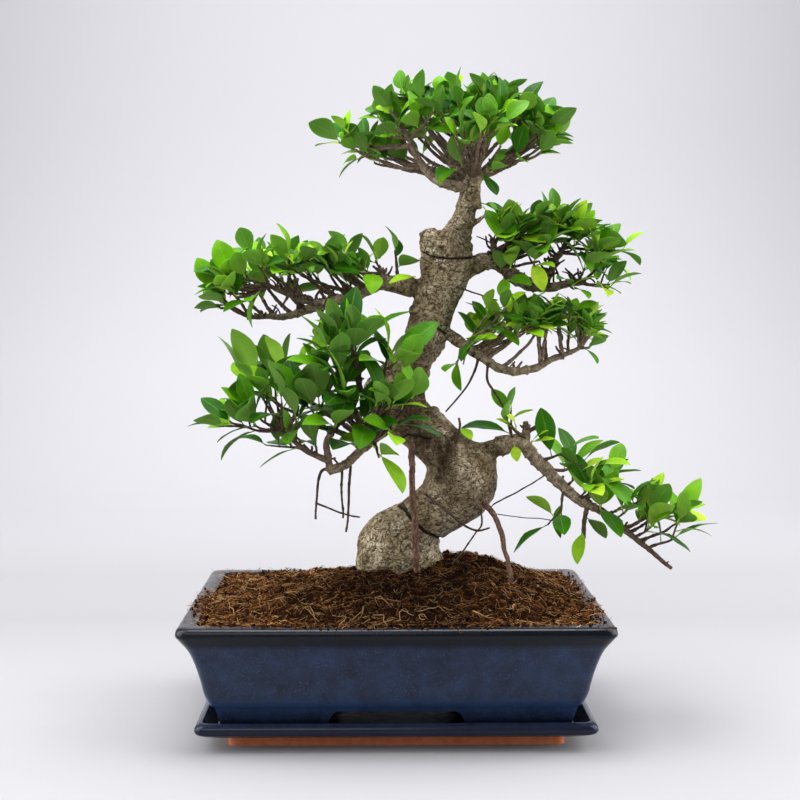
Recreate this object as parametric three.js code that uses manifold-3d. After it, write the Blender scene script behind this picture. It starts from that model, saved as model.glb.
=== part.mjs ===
// A bonsai fig in a glazed pot on its saucer.
// Millimetres, +Z up, +Y away from the viewer. The origin is the middle of the saucer's underside.
//
// Stations of the tree are [x, z, depth, radius]. x and z are read in the front view on the plane
// depth = 0, and sight() then moves the point along the viewer's line of sight to its depth.
import * as THREE from 'three';
import Module from 'manifold-3d';

const wasm = await Module();
wasm.setup();

// ---------------------------------------------------------------- driving dimensions
const EYE = new THREE.Vector3(-15, -1433, 410);   // the viewer's eye, 1.4 m in front of the pot
const UP = new THREE.Vector3(0, 0, 1);
const GAP = 0.3;                   // running gap between pieces that rest on each other
const CLEARANCE = 0.5;             // round what stands in the soil, and between soil and pot

const POT_HALF = [200, 150];       // over the rolled rim
const POT_TOP = 118.4;
const RIM_WIDTH = 18;              // flat top of the rim
const POT_FLOOR = 42;
const ARCH_TOP = 35;               // height of the arches between the pot's feet
const ARCH_HALF = [53, 67];        // half width of an arch at its top and at its foot
const FOOT_WIDTH = 15;             // the pot's walls below its floor
const DRAIN_X = 85;                // the two drain holes
const DRAIN_RADIUS = 13;

const SAUCER_HALF = [185, 134];
const SAUCER_FLOOR = 12;
const SAUCER_TOP = 27;
const SAUCER_FOOT_INSET = 28;      // its unglazed foot is this much smaller all round

const SCREEN_SIDE = 42;            // the plastic mesh over a drain hole
const SCREEN_THICKNESS = 1.2;
const SCREEN_HOLES = 3;            // holes along each side of it

const SOIL_EDGE = 117;             // soil level along the rim
const MOUND_HEIGHT = 33;

const LEAF_THICKNESS = 0.7;
const LEAF_ARCH = 0.07;            // rise of a blade's middle, as a share of its length
const TWIG_TIP_RADIUS = 1;
const GOLDEN_ANGLE = Math.PI * (3 - Math.sqrt(5));

const TRUNK_SIDES = 12;
const STUMP_SIDES = 8;
const BOUGH_SIDES = 5;
const ROOT_SIDES = 5;
const SHOOT_SIDES = 3;

// ---------------------------------------------------------------- points and paths
const vector = (x, y, z) => new THREE.Vector3(x, y, z);
const moved = (point, direction, by) => point.clone().addScaledVector(direction, by);
const towards = (from, to) => to.clone().sub(from).normalize();

// The direction of a, made square to axis.
const across = (a, axis) => moved(a, axis, -a.dot(axis)).normalize();

const sight = (x, z, depth) => EYE.clone().lerp(vector(x, 0, z), 1 - depth / EYE.y);

function placed([x, z, depth, radius]) {
  return { at: sight(x, z, depth), radius };
}

function seededRandom(seed) {
  let state = seed;
  return () => {
    state = (Math.imul(state, 1664525) + 1013904223) >>> 0;
    return state / 4294967296;
  };
}

// ---------------------------------------------------------------- solids
function solidOf(points, triangles) {
  return new wasm.Manifold(new wasm.Mesh({
    numProp: 3,
    vertProperties: new Float32Array(points.flatMap((p) => p.toArray())),
    triVerts: new Uint32Array(triangles.flat()),
  }));
}

// Rings of equal length, each anticlockwise round the way the loft runs, with flat end caps.
function loft(rings) {
  const count = rings[0].length;
  const triangles = [];
  for (let r = 0; r + 1 < rings.length; r += 1) {
    for (let i = 0; i < count; i += 1) {
      const a = r * count + i;
      const b = r * count + ((i + 1) % count);
      triangles.push([a, b, b + count], [a, b + count, a + count]);
    }
  }
  const last = (rings.length - 1) * count;
  for (let i = 1; i + 1 < count; i += 1) {
    triangles.push([0, i + 1, i], [last, last + i, last + i + 1]);
  }
  return solidOf(rings.flat(), triangles);
}

// A closed tapering tube through stations { at, radius }, its rings square to the path.
function tube(stations, sides) {
  const rings = [];
  let side = null;
  stations.forEach(({ at, radius }, i) => {
    const before = stations[Math.max(0, i - 1)].at;
    const after = stations[Math.min(stations.length - 1, i + 1)].at;
    const along = towards(before, after);
    side = across(side ?? (Math.abs(along.z) > 0.9 ? vector(1, 0, 0) : UP), along);
    const other = along.clone().cross(side);
    const ring = [];
    for (let k = 0; k < sides; k += 1) {
      const angle = (2 * Math.PI * k) / sides;
      ring.push(moved(moved(at, side, radius * Math.cos(angle)), other, radius * Math.sin(angle)));
    }
    rings.push(ring);
  });
  return loft(rings);
}

// Joins many solids in pairs, which keeps each union small.
function joined(solids) {
  let level = solids;
  while (level.length > 1) {
    const next = [];
    for (let i = 0; i < level.length; i += 2) {
      next.push(i + 1 < level.length ? level[i].add(level[i + 1]) : level[i]);
    }
    level = next;
  }
  return level[0];
}

// The one body that holds together, without loose scraps or sealed hollows.
function oneBody(solid) {
  return solid.decompose().reduce((best, piece) => (piece.volume() > best.volume() ? piece : best));
}

// A rectangle with rounded corners at height z, with extra points along its straight edges.
function roundedRectangle([halfX, halfY], radius, z, perCorner = 3, perEdge = 0) {
  const points = [];
  const corners = [[1, -1], [1, 1], [-1, 1], [-1, -1]];
  const onCorner = ([sx, sy], angle) => vector(
    sx * (halfX - radius) + radius * Math.cos(angle),
    sy * (halfY - radius) + radius * Math.sin(angle), z);
  corners.forEach((corner, c) => {
    for (let i = 0; i < perCorner; i += 1) {
      points.push(onCorner(corner, (c - 1 + i / (perCorner - 1)) * (Math.PI / 2)));
    }
    const from = points[points.length - 1];
    const to = onCorner(corners[(c + 1) % 4], (c * Math.PI) / 2);
    for (let i = 1; i <= perEdge; i += 1) points.push(from.clone().lerp(to, i / (perEdge + 1)));
  });
  return points;
}

// A tapering tray shape: profile rows are [inset from half, height, corner radius].
function trayLoft(half, profile) {
  return loft(profile.map(([inset, z, radius]) => (
    roundedRectangle([half[0] - inset, half[1] - inset], radius, z))));
}

// ---------------------------------------------------------------- pot, saucer and screens
const POT_OUTSIDE = [
  [39, SAUCER_FLOOR + GAP, 6], [35, 27, 7], [31, 39, 8], [28, 41, 9], [23, 52, 11], [20.5, 63, 12],
  [16, 80, 12], [10.5, 94.6, 12], [2.5, 107, 12], [0, 111, 12], [0.8, 116, 12], [3.4, POT_TOP, 11],
];
const POT_INSIDE = [
  [38, POT_FLOOR, 8], [29, 66, 10], [24, 92, 10], [19, 114, 9], [RIM_WIDTH - 1.6, POT_TOP + 1, 9],
];
const SAUCER_OUTSIDE = [
  [SAUCER_FOOT_INSET, 0, 8], [SAUCER_FOOT_INSET, 8, 8], [22, 9, 9], [4, 15.5, 9], [0, 19, 9],
  [0.6, 24, 9], [4.5, SAUCER_TOP, 8],
];
const SAUCER_INSIDE = [[16, SAUCER_FLOOR, 8], [12, 17, 8], [8.5, 23, 8], [6.4, SAUCER_TOP + 1, 8]];

// Runs under the pot from front to back, and shapes the two arches.
function archCutter() {
  const [top, foot] = ARCH_HALF;
  const low = SAUCER_FLOOR - 1;
  const bend = low + 12;
  const outline = new THREE.Shape();
  outline.moveTo(-foot, low);
  outline.lineTo(foot, low);
  outline.bezierCurveTo(foot - 4, bend, top + 8, ARCH_TOP, top, ARCH_TOP);
  outline.lineTo(-top, ARCH_TOP);
  outline.bezierCurveTo(-top - 8, ARCH_TOP, 4 - foot, bend, -foot, low);
  const flat = outline.getPoints(4);
  flat.pop();
  const reach = POT_HALF[1];
  return loft([reach, -reach].map((y) => flat.map((p) => vector(p.x, y, p.y))));
}

function drainHole(x) {
  const ends = [ARCH_TOP - 2, POT_FLOOR + 2];
  return tube(ends.map((z) => ({ at: vector(x, 0, z), radius: DRAIN_RADIUS })), 12);
}

function pot() {
  const foot = POT_OUTSIDE[1][0] + FOOT_WIDTH;
  const underside = trayLoft(POT_HALF, [[foot, SAUCER_FLOOR - 1, 6], [foot, ARCH_TOP, 6]]);
  let body = trayLoft(POT_HALF, POT_OUTSIDE).subtract(trayLoft(POT_HALF, POT_INSIDE));
  body = body.subtract(underside).subtract(archCutter());
  for (const side of [-1, 1]) body = body.subtract(drainHole(side * DRAIN_X));
  return body;
}

function saucer() {
  return trayLoft(SAUCER_HALF, SAUCER_OUTSIDE).subtract(trayLoft(SAUCER_HALF, SAUCER_INSIDE));
}

// A flat square block centred on [x, y].
function squareBlock(x, y, side, low, high) {
  const h = side / 2;
  return loft([low, high].map((z) => [
    vector(x - h, y - h, z), vector(x + h, y - h, z), vector(x + h, y + h, z), vector(x - h, y + h, z),
  ]));
}

function drainScreen(x) {
  const low = POT_FLOOR + GAP;
  const high = low + SCREEN_THICKNESS;
  const pitch = SCREEN_SIDE / (SCREEN_HOLES + 0.5);
  let screen = squareBlock(x, 0, SCREEN_SIDE, low, high);
  for (let i = 0; i < SCREEN_HOLES; i += 1) {
    for (let j = 0; j < SCREEN_HOLES; j += 1) {
      const [right, back] = [i, j].map((k) => (k - (SCREEN_HOLES - 1) / 2) * pitch);
      screen = screen.subtract(squareBlock(x + right, back, pitch * 0.7, low - 1, high + 1));
    }
  }
  return screen;
}

// ---------------------------------------------------------------- trunk
// Level stations up the trunk: [height, left edge, right edge, middle depth, half depth].
const TRUNK = [
  [103, -35, 43, 16, 36], [145, -39, 52, 16, 42], [170, -38, 43, 15, 41], [183, -34, 53, 13, 38],
  [198, -22, 82, 8, 34], [212, 3, 95, 4, 33], [230, 25, 100, 0, 34], [247, 31, 100, -2, 33],
  [263, 15, 96, 0, 31], [278, 0, 73, 2, 29], [295, -19, 52, 5, 28], [313, -32, 32, 8, 28],
  [330, -29, 32, 9, 27], [350, -11, 37, 10, 24], [372, 6, 50, 9, 23], [400, 14, 59, 7, 23],
  [438, 24, 73, 6, 25], [474, 23, 74, 6, 25], [480, 26, 71, 6, 22],
];
const STATIONS_IN_SOIL = 5;        // as many of them as the hole in the soil follows

const LEADER = [[52, 462, 5, 17], [61, 476, 4, 15.5], [69, 494, 1, 12], [72, 508, 1, 11]];
const STUB_TWIG = [[76, 487, 0, 3], [94, 500, -10, 2]];
const AERIAL_ROOTS = [
  [[22, 284, -8, 3.4], [16, 262, -23, 3.2], [18, 222, -32, 3.1], [21, 170, -34, 3.3], [24, 125, -36, 3.4]],
  [[78, 224, -10, 4.2], [100, 194, -36, 3.6], [110, 162, -46, 3.2], [119, 120, -53, 3.2]],
];
const BURIED_ROOT_HEADINGS = [90, 200, 330];               // degrees from +X
const BURIED_ROOT = [[10, 128, 12], [55, 116, 8], [95, 104, 4.5]];   // [distance, height, radius]
const ROOT_CENTRE = [8, 16];

const SLICES = TRUNK.map(([z, left, right, depth, halfDepth]) => {
  const [a, b] = [sight(left, z, depth), sight(right, z, depth)];
  return { middle: a.clone().lerp(b, 0.5), halfX: (b.x - a.x) / 2, halfY: halfDepth };
});

function trunkCore(extra = 0, slices = SLICES) {
  return loft(slices.map(({ middle, halfX, halfY }) => {
    const ring = [];
    for (let k = 0; k < TRUNK_SIDES; k += 1) {
      const angle = (2 * Math.PI * k) / TRUNK_SIDES;
      ring.push(middle.clone().add(
        vector((halfX + extra) * Math.cos(angle), (halfY + extra) * Math.sin(angle), 0)));
    }
    return ring;
  }));
}

// How far a point stands clear of the trunk's surface, level with it. Negative inside.
function trunkClearance(point) {
  const above = SLICES.findIndex((slice) => slice.middle.z > point.z);
  if (above === -1) return Infinity;
  const high = SLICES[above];
  const low = SLICES[Math.max(0, above - 1)];
  const t = above === 0 ? 0 : (point.z - low.middle.z) / (high.middle.z - low.middle.z);
  const middle = low.middle.clone().lerp(high.middle, t);
  const halfX = THREE.MathUtils.lerp(low.halfX, high.halfX, t);
  const halfY = THREE.MathUtils.lerp(low.halfY, high.halfY, t);
  const away = Math.hypot((point.x - middle.x) / halfX, (point.y - middle.y) / halfY);
  return (away - 1) * Math.min(halfX, halfY);
}

function roots() {
  const aerial = AERIAL_ROOTS.map((path) => path.map(placed));
  const buried = BURIED_ROOT_HEADINGS.map((degrees) => {
    const heading = THREE.MathUtils.degToRad(degrees);
    return BURIED_ROOT.map(([distance, z, radius]) => ({
      at: vector(ROOT_CENTRE[0] + distance * Math.cos(heading),
        ROOT_CENTRE[1] + distance * Math.sin(heading), z),
      radius,
    }));
  });
  return [...aerial, ...buried];
}

// ---------------------------------------------------------------- soil
// The height of the soil's surface: a low mound, highest behind and to the right of the trunk.
function soilHeight(x, y) {
  const edge = ((x / 181) ** 4 + (y / 131) ** 4) ** 0.25;
  const fade = Math.max(0, 1 - edge ** 2.4);
  const lump = (cx, cy, spread, height) => (
    height * Math.exp(-((x - cx) ** 2 + (y - cy) ** 2) / (spread * spread)));
  const waves = 1.6 * Math.sin(x * 0.075 + 1) * Math.cos(y * 0.09) + 1.1 * Math.sin(x * 0.16 - y * 0.13);
  const lumps = lump(78, 22, 42, 8) + lump(-10, 50, 50, 3) + lump(120, -40, 40, 4) - lump(-110, -30, 50, 4);
  return SOIL_EDGE + MOUND_HEIGHT * fade + (waves + lumps) * Math.min(1, fade * 2.5);
}

function soilMound() {
  const perCorner = 3;
  const perEdge = 2;
  const ring = (half, radius, z) => roundedRectangle(half, radius, z, perCorner, perEdge);
  const rings = POT_INSIDE.slice(0, -1).map(([inset, z, radius]) => ring(
    POT_HALF.map((half) => half - inset - CLEARANCE), radius, z + GAP));
  const edge = rings[rings.length - 1];
  for (const point of edge) point.z = SOIL_EDGE;
  const halfX = Math.max(...edge.map((point) => point.x));
  const halfY = Math.max(...edge.map((point) => point.y));
  // The rings turn from the pot's rectangle into ellipses towards the middle.
  for (const share of [0.94, 0.84, 0.68, 0.48, 0.26, 0.08]) {
    rings.push(edge.map((point) => {
      const out = Math.hypot(point.x / halfX, point.y / halfY);
      const reach = share * THREE.MathUtils.lerp(1 / out, 1, share);
      const [x, y] = [point.x * reach, point.y * reach];
      return vector(x, y, soilHeight(x, y));
    }));
  }
  return loft(rings);
}

// The soil with the plain holes that the trunk, its roots and the drain screens stand in.
function soil() {
  const foot = SLICES.slice(0, STATIONS_IN_SOIL);
  foot[0] = { ...foot[0], middle: moved(foot[0].middle, UP, -CLEARANCE) };
  let body = soilMound().subtract(trunkCore(CLEARANCE, foot));
  for (const path of roots()) {
    const hole = path.map(({ at, radius }) => ({ at: at.clone(), radius: radius + CLEARANCE }));
    const [before, end] = hole.slice(-2);
    end.at.addScaledVector(towards(before.at, end.at), CLEARANCE);
    body = body.subtract(tube(hole, ROOT_SIDES));
  }
  for (const side of [-1, 1]) {
    const top = POT_FLOOR + GAP + SCREEN_THICKNESS + GAP;
    body = body.subtract(squareBlock(side * DRAIN_X, 0, SCREEN_SIDE + 2 * GAP, POT_FLOOR, top));
  }
  return oneBody(body);
}

// ---------------------------------------------------------------- leafy branches
// boughs are the branch's thick wood. The first leaves the trunk at its first station, from a stump
// that reaches back into the trunk. tips are where its leafy shoots end: [x, z, depth].
const BRANCHES = {
  branch_crown: {
    seed: 11, leaf: 29, perShoot: 3, stump: 12,
    boughs: [
      [[73, 515, 1, 11], [74, 526, 1, 10.5], [78, 550, 0, 7], [82, 572, 2, 3.5]],
      [[74, 524, 0, 6.5], [43, 530, -10, 5.2], [22, 552, -18, 3.4], [8, 582, -26, 2]],
      [[75, 532, 0, 6], [103, 544, 0, 4.6], [122, 564, 8, 3], [150, 584, 10, 1.8]],
    ],
    tips: [
      [-52, 570, 4], [-36, 550, -20], [-6, 560, 34], [-6, 598, -26], [12, 610, -6], [6, 585, 58],
      [38, 598, -44], [44, 590, 46], [62, 608, -20], [66, 580, -66], [74, 610, 30], [60, 540, -34],
      [84, 596, 64], [92, 602, -4], [106, 612, -14], [108, 586, -60], [126, 596, -12],
      [132, 580, 54], [116, 560, 44], [152, 584, 10], [142, 556, -24], [160, 572, -14],
      [94, 538, -26],
    ],
  },
  branch_upper_left: {
    seed: 23, leaf: 33, perShoot: 3, stump: 22,
    boughs: [
      [[16, 426, 4, 9.5], [3, 428, 1, 8.3], [-17, 429, -2, 7], [-41, 418, -1, 5.2], [-75, 407, 1, 5],
        [-107, 398, 4, 3.4], [-146, 396, 4, 2.2]],
      [[-70, 408, 0, 3.8], [-94, 414, -10, 3.2], [-128, 429, -24, 2]],
      [[-9, 429, -2, 5], [-14, 444, -8, 3]],
    ],
    tips: [
      [-178, 424, -16], [-172, 405, -8], [-156, 438, -28], [-104, 456, -30], [-84, 452, -34],
      [-60, 448, -30], [-32, 440, -24], [0, 462, -12], [-140, 434, 48], [-118, 448, 20],
      [-84, 444, 44], [-46, 446, 42], [-78, 374, -6], [-46, 400, -10], [-140, 412, -34],
    ],
  },
  branch_lower_left: {
    seed: 37, leaf: 46, perShoot: 3, stump: 26,
    boughs: [
      [[-12, 283, -26, 5.6], [-22, 275, -36, 4.8], [-41, 257, -42, 4.6], [-67, 243, -50, 5]],
      [[-65, 245, -49, 4.2], [-68, 270, -56, 3.4], [-56, 290, -62, 3.2], [-27, 307, -66, 3],
        [-13, 328, -70, 2.4], [-24, 356, -74, 1.8]],
      [[-67, 254, -52, 3.4], [-94, 269, -60, 2.8], [-116, 288, -60, 1.8]],
    ],
    tips: [
      [-162, 292, -60], [-152, 338, -34], [-112, 312, -76], [-106, 268, -40], [-84, 338, -24],
      [-72, 344, -70], [-52, 314, -84], [-60, 374, -72], [-22, 382, -76], [4, 356, -80],
      [16, 316, -82], [-4, 280, -92], [-16, 258, -62], [-98, 296, -84],
    ],
  },
  branch_right_upper: {
    seed: 41, leaf: 33, perShoot: 3, stump: 22,
    boughs: [
      [[78, 447, 13, 8.7], [88, 451, 16, 8], [102, 449, 17, 7], [128, 430, 14, 7], [152, 426, 10, 4.8],
        [188, 431, 6, 2.2]],
      [[98, 450, 16, 4.4], [95, 474, 10, 2.6]],
      [[143, 428, 12, 4.6], [158, 451, 8, 3.4], [167, 470, 2, 1.8]],
    ],
    tips: [
      [108, 484, -14], [130, 470, -4], [150, 480, -10], [164, 486, -6], [196, 462, -10],
      [224, 462, -4], [210, 424, 4], [124, 480, 44], [184, 474, 48], [206, 452, 38],
      [138, 446, -24], [110, 432, -8], [176, 424, -8],
    ],
  },
  branch_right_lower: {
    seed: 59, leaf: 29, perShoot: 3, stump: 20,
    boughs: [
      [[58, 376, -2, 5.8], [68, 369, -6, 5.4], [95, 351, -10, 4.8], [125, 343, -10, 4.6],
        [155, 354, -6, 3.4], [186, 368, -8, 1.8]],
    ],
    tips: [
      [90, 386, -20], [116, 388, -22], [142, 388, -26], [154, 396, -14], [176, 396, -14],
      [188, 382, -12], [192, 366, -12], [92, 390, 36], [132, 388, 36], [168, 390, 32],
      [78, 372, -22], [60, 350, -20],
    ],
  },
  branch_cascade: {
    seed: 73, leaf: 46, perShoot: 2, stump: 26,
    boughs: [
      [[103, 268, -5, 8.2], [112, 271, -8, 7.2], [126, 271, -10, 6.4], [147, 249, -14, 5.6],
        [172, 224, -18, 4.6], [206, 201, -22, 3.4], [238, 178, -24, 2.5], [276, 146, -26, 1.7]],
      [[128, 270, -10, 3.6], [131, 290, -12, 3.5]],
    ],
    tips: [
      [112, 290, -24], [168, 262, -28], [194, 244, -38], [212, 232, -28], [254, 198, -38],
      [284, 202, -8], [278, 176, -30], [164, 200, -38], [152, 190, -36], [188, 184, -24],
      [186, 252, 12], [230, 210, 8],
    ],
  },
};

const SAMPLE_STEP = 6;             // spacing of the places that a shoot can fork from
const BARE_START = 12;             // none lies this near to the branch's own beginning
const FORK_BIAS = 0.4;             // how strongly a shoot prefers to fork nearer to the trunk
const SHOOT_SAG = 0.12;            // how low a shoot swings before it rises, as a share of its length
const LONG_SHOOT = 40;             // shorter shoots are straight

// Places along a path, without its very end.
function samplesOf(stations, travelled) {
  const list = [];
  let gone = travelled;
  for (let i = 0; i + 1 < stations.length; i += 1) {
    const [from, to] = [stations[i], stations[i + 1]];
    const long = from.at.distanceTo(to.at);
    const count = Math.max(1, Math.round(long / SAMPLE_STEP));
    for (let k = 0; k < count; k += 1) {
      const t = k / count;
      list.push({
        at: from.at.clone().lerp(to.at, t),
        radius: THREE.MathUtils.lerp(from.radius, to.radius, t),
        travelled: gone + long * t,
      });
    }
    gone += long;
  }
  return list;
}

const least = (list, cost) => list.reduce((best, item) => (cost(item) < cost(best) ? item : best));

// The wood of a branch: its boughs, and a shoot to each tip, forked from the wood before it.
function growWood(branch) {
  const boughs = branch.boughs.map((bough) => bough.map(placed));
  const skeleton = samplesOf(boughs[0], 0).filter((place) => place.travelled > BARE_START);
  for (const bough of boughs.slice(1)) {
    const origin = least(skeleton, (place) => place.at.distanceTo(bough[0].at));
    skeleton.push(...samplesOf(bough, origin.travelled));
  }
  const shoots = branch.tips.map(([x, z, depth]) => {
    const tip = sight(x, z, depth);
    const fork = least(skeleton, (place) => place.at.distanceTo(tip) + FORK_BIAS * place.travelled);
    const long = fork.at.distanceTo(tip);
    const low = moved(fork.at.clone().lerp(tip, 0.5), UP, -SHOOT_SAG * long);
    const curve = new THREE.QuadraticBezierCurve3(fork.at, low, tip);
    const thick = Math.min(0.75 * fork.radius, 1.3 + 0.015 * long);
    const shoot = (long > LONG_SHOOT ? [0, 0.5, 1] : [0, 1]).map((t) => ({
      at: curve.getPoint(t), radius: THREE.MathUtils.lerp(thick, TWIG_TIP_RADIUS, t),
    }));
    skeleton.push(...samplesOf(shoot, fork.travelled).slice(1));
    return shoot;
  });
  return { boughs, shoots };
}

function pointAlong(stations, t) {
  const place = t * (stations.length - 1);
  const i = Math.min(stations.length - 2, Math.floor(place));
  return stations[i].at.clone().lerp(stations[i + 1].at, place - i);
}

// A spiral of leaves up the outer half of a shoot. The last one nearly follows the shoot.
function leavesOf(branch, shoot, random) {
  const [before, end] = shoot.slice(-2);
  const axis = towards(before.at, end.at).addScaledVector(UP, 0.35).normalize();
  const side = across(vector(0.3, 1, 0.1), axis);
  const other = axis.clone().cross(side);
  const turn = random() * 2 * Math.PI;
  const leaves = [];
  for (let k = 0; k < branch.perShoot; k += 1) {
    const share = k / (branch.perShoot - 1);
    const angle = turn + k * GOLDEN_ANGLE;
    const spread = 1.2 - 0.85 * share;
    const out = moved(side.clone().multiplyScalar(Math.cos(angle)), other, Math.sin(angle));
    const along = moved(axis.clone().multiplyScalar(Math.cos(spread)), out, Math.sin(spread));
    const long = branch.leaf * (0.8 + 0.35 * random());
    const base = pointAlong(shoot, 0.5 + 0.47 * share);
    leaves.push({
      base,
      tip: moved(base, along, long),
      width: long * (0.44 + 0.1 * random()),
      face: across(moved(UP, axis, 0.5), along),
    });
  }
  return leaves;
}

// A leaf as a thin arched blade. Its pointed root is sunk in the shoot at base.
const LEAF_OUTLINE = [[0.36, 0.5], [0.7, 0.42]];           // [place along the rib, share of width]

function leafSolid({ base, tip, width, face }) {
  const long = base.distanceTo(tip);
  const side = face.clone().cross(towards(base, tip));
  const top = [base];
  for (const [t, share] of LEAF_OUTLINE) {
    const rib = moved(base.clone().lerp(tip, t), face, long * LEAF_ARCH * 4 * t * (1 - t));
    top.push(moved(rib, side, width * share), moved(rib, side, -width * share));
  }
  top.push(tip);
  const last = top.length - 1;
  const faces = [[0, 2, 1], [last - 2, last - 1, last]];
  const left = [];
  const right = [];
  for (let i = 1; i < last; i += 2) {
    left.unshift(i);
    right.push(i + 1);
    if (i + 2 < last) faces.push([i, i + 1, i + 3], [i, i + 3, i + 2]);
  }
  const rim = [0, ...right, last, ...left];
  const under = top.length;
  const triangles = [...faces, ...faces.map(([a, b, c]) => [a + under, c + under, b + under])];
  rim.forEach((a, i) => {
    const b = rim[(i + 1) % rim.length];
    triangles.push([a, a + under, b + under], [a, b + under, b]);
  });
  return solidOf([...top, ...top.map((p) => moved(p, face, -LEAF_THICKNESS))], triangles);
}

// ---------------------------------------------------------------- leaves kept clear of all else
const CLEAR_OF_TRUNK = 3;
const CLEAR_OF_GROUND = 6;
const CLEAR_OF_WOOD = 6;           // from the surface of another branch's wood
const CLEAR_OF_LEAF = 11;          // between sample points of leaves of two branches

function leafPoints({ base, tip, width, face }) {
  const side = face.clone().cross(towards(base, tip));
  return [0.2, 0.4, 0.6, 0.8, 1].flatMap((t) => [-0.5, 0, 0.5].map(
    (share) => moved(base.clone().lerp(tip, t), side, share * width)));
}

function clearOfGround(point) {
  const overPot = Math.abs(point.x) < POT_HALF[0] + 5 && Math.abs(point.y) < POT_HALF[1] + 5;
  return point.z > (overPot ? soilHeight(point.x, point.y) : 0) + CLEAR_OF_GROUND;
}

function isClear(leaf, others) {
  return leafPoints(leaf).every((point) => (
    trunkClearance(point) > CLEAR_OF_TRUNK && clearOfGround(point)
    && others.every(({ at, reach }) => at.distanceTo(point) > reach)));
}

// All branches together, so that no leaf crosses another branch. Earlier ones go first.
function growAll() {
  const plans = Object.entries(BRANCHES).map(([name, branch]) => ({ name, branch, ...growWood(branch) }));
  const occupied = plans.flatMap(({ name, boughs, shoots }) => (
    [...boughs, ...shoots].flatMap((path) => samplesOf(path, 0))
      .map(({ at, radius }) => ({ name, at, reach: radius + CLEAR_OF_WOOD }))));
  for (const plan of plans) {
    const random = seededRandom(plan.branch.seed);
    const others = occupied.filter((place) => place.name !== plan.name);
    plan.leaves = plan.shoots.flatMap((shoot) => leavesOf(plan.branch, shoot, random))
      .filter((leaf) => isClear(leaf, others));
    for (const at of plan.leaves.flatMap(leafPoints)) {
      occupied.push({ name: plan.name, at, reach: CLEAR_OF_LEAF });
    }
  }
  return plans;
}

function leafyBranch({ boughs, shoots, leaves }) {
  return oneBody(joined([
    ...boughs.map((bough) => tube(bough, BOUGH_SIDES)),
    ...shoots.map((shoot) => tube(shoot, SHOOT_SIDES)),
    ...leaves.map(leafSolid),
  ]));
}

// The stump on the trunk that a branch grows from, straight behind its first station.
function branchStump(branch) {
  const [first, second] = branch.boughs[0].map(placed);
  const along = towards(first.at, second.at);
  return [
    { at: moved(first.at, along, -branch.stump), radius: first.radius * 1.25 },
    { at: moved(first.at, along, -GAP), radius: first.radius },
  ];
}

function trunk() {
  return oneBody(joined([
    trunkCore(),
    tube(LEADER.map(placed), STUMP_SIDES),
    tube(STUB_TWIG.map(placed), ROOT_SIDES),
    ...roots().map((root) => tube(root, ROOT_SIDES)),
    ...Object.values(BRANCHES).map((branch) => tube(branchStump(branch), STUMP_SIDES)),
  ]));
}

// ---------------------------------------------------------------- the scene graph
function material(color, roughness) {
  return new THREE.MeshStandardMaterial({ color, roughness, metalness: 0 });
}

const GLAZE = material(0x26344f, 0.22);
const SOIL = material(0x5a3320, 0.95);
const BARK = material(0x9a8b74, 0.85);
const LEAF = material(0x3f8a24, 0.4);
const MESH_PLASTIC = material(0x1f1f1f, 0.6);

function toGeometry(solid) {
  const mesh = solid.getMesh();
  const geometry = new THREE.BufferGeometry();
  const positions = new Float32Array(mesh.numVert * 3);
  for (let i = 0; i < mesh.numVert; i += 1) {
    for (let k = 0; k < 3; k += 1) positions[3 * i + k] = mesh.vertProperties[mesh.numProp * i + k];
  }
  geometry.setAttribute('position', new THREE.BufferAttribute(positions, 3));
  geometry.setIndex(Array.from(mesh.triVerts));
  geometry.computeVertexNormals();
  return geometry;
}

const group = new THREE.Group();
function place(name, solid, look) {
  const mesh = new THREE.Mesh(toGeometry(solid), look);
  mesh.name = name;
  group.add(mesh);
}

place('saucer', saucer(), GLAZE);
place('pot', pot(), GLAZE);
place('drain_screen_left', drainScreen(-DRAIN_X), MESH_PLASTIC);
place('drain_screen_right', drainScreen(DRAIN_X), MESH_PLASTIC);
place('soil', soil(), SOIL);
place('trunk', trunk(), BARK);
for (const plan of growAll()) place(plan.name, leafyBranch(plan), LEAF);

export default group;
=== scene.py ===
"""Looks of a bonsai fig in its glazed pot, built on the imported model's frame.

Lengths are worked out in millimetres and become metres where a mesh is made. Stations of the tree
are (x, z, depth, radius): x and z as read in the front view on the plane depth = 0, which sight()
then moves along the viewer's line of sight to their depth.
"""
import math

import bpy
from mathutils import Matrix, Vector, kdtree, noise


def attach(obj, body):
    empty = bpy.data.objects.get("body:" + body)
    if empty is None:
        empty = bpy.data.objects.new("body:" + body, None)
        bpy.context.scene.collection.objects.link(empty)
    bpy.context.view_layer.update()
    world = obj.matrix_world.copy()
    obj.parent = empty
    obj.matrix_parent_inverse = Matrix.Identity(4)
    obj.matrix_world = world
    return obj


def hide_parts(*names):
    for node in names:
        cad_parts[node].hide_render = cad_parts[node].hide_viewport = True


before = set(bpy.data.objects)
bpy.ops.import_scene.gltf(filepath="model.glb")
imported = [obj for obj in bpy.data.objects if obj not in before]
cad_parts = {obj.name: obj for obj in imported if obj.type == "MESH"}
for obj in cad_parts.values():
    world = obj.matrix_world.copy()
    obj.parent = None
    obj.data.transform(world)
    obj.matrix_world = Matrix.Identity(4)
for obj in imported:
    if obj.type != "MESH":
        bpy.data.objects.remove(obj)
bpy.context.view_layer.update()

# ---------------------------------------------------------------- driving dimensions, millimetres
MM = 0.001
EYE = Vector((-15, -1433, 410.3))
UP = Vector((0, 0, 1))
GAP = 0.3
CLEARANCE = 0.5

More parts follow.
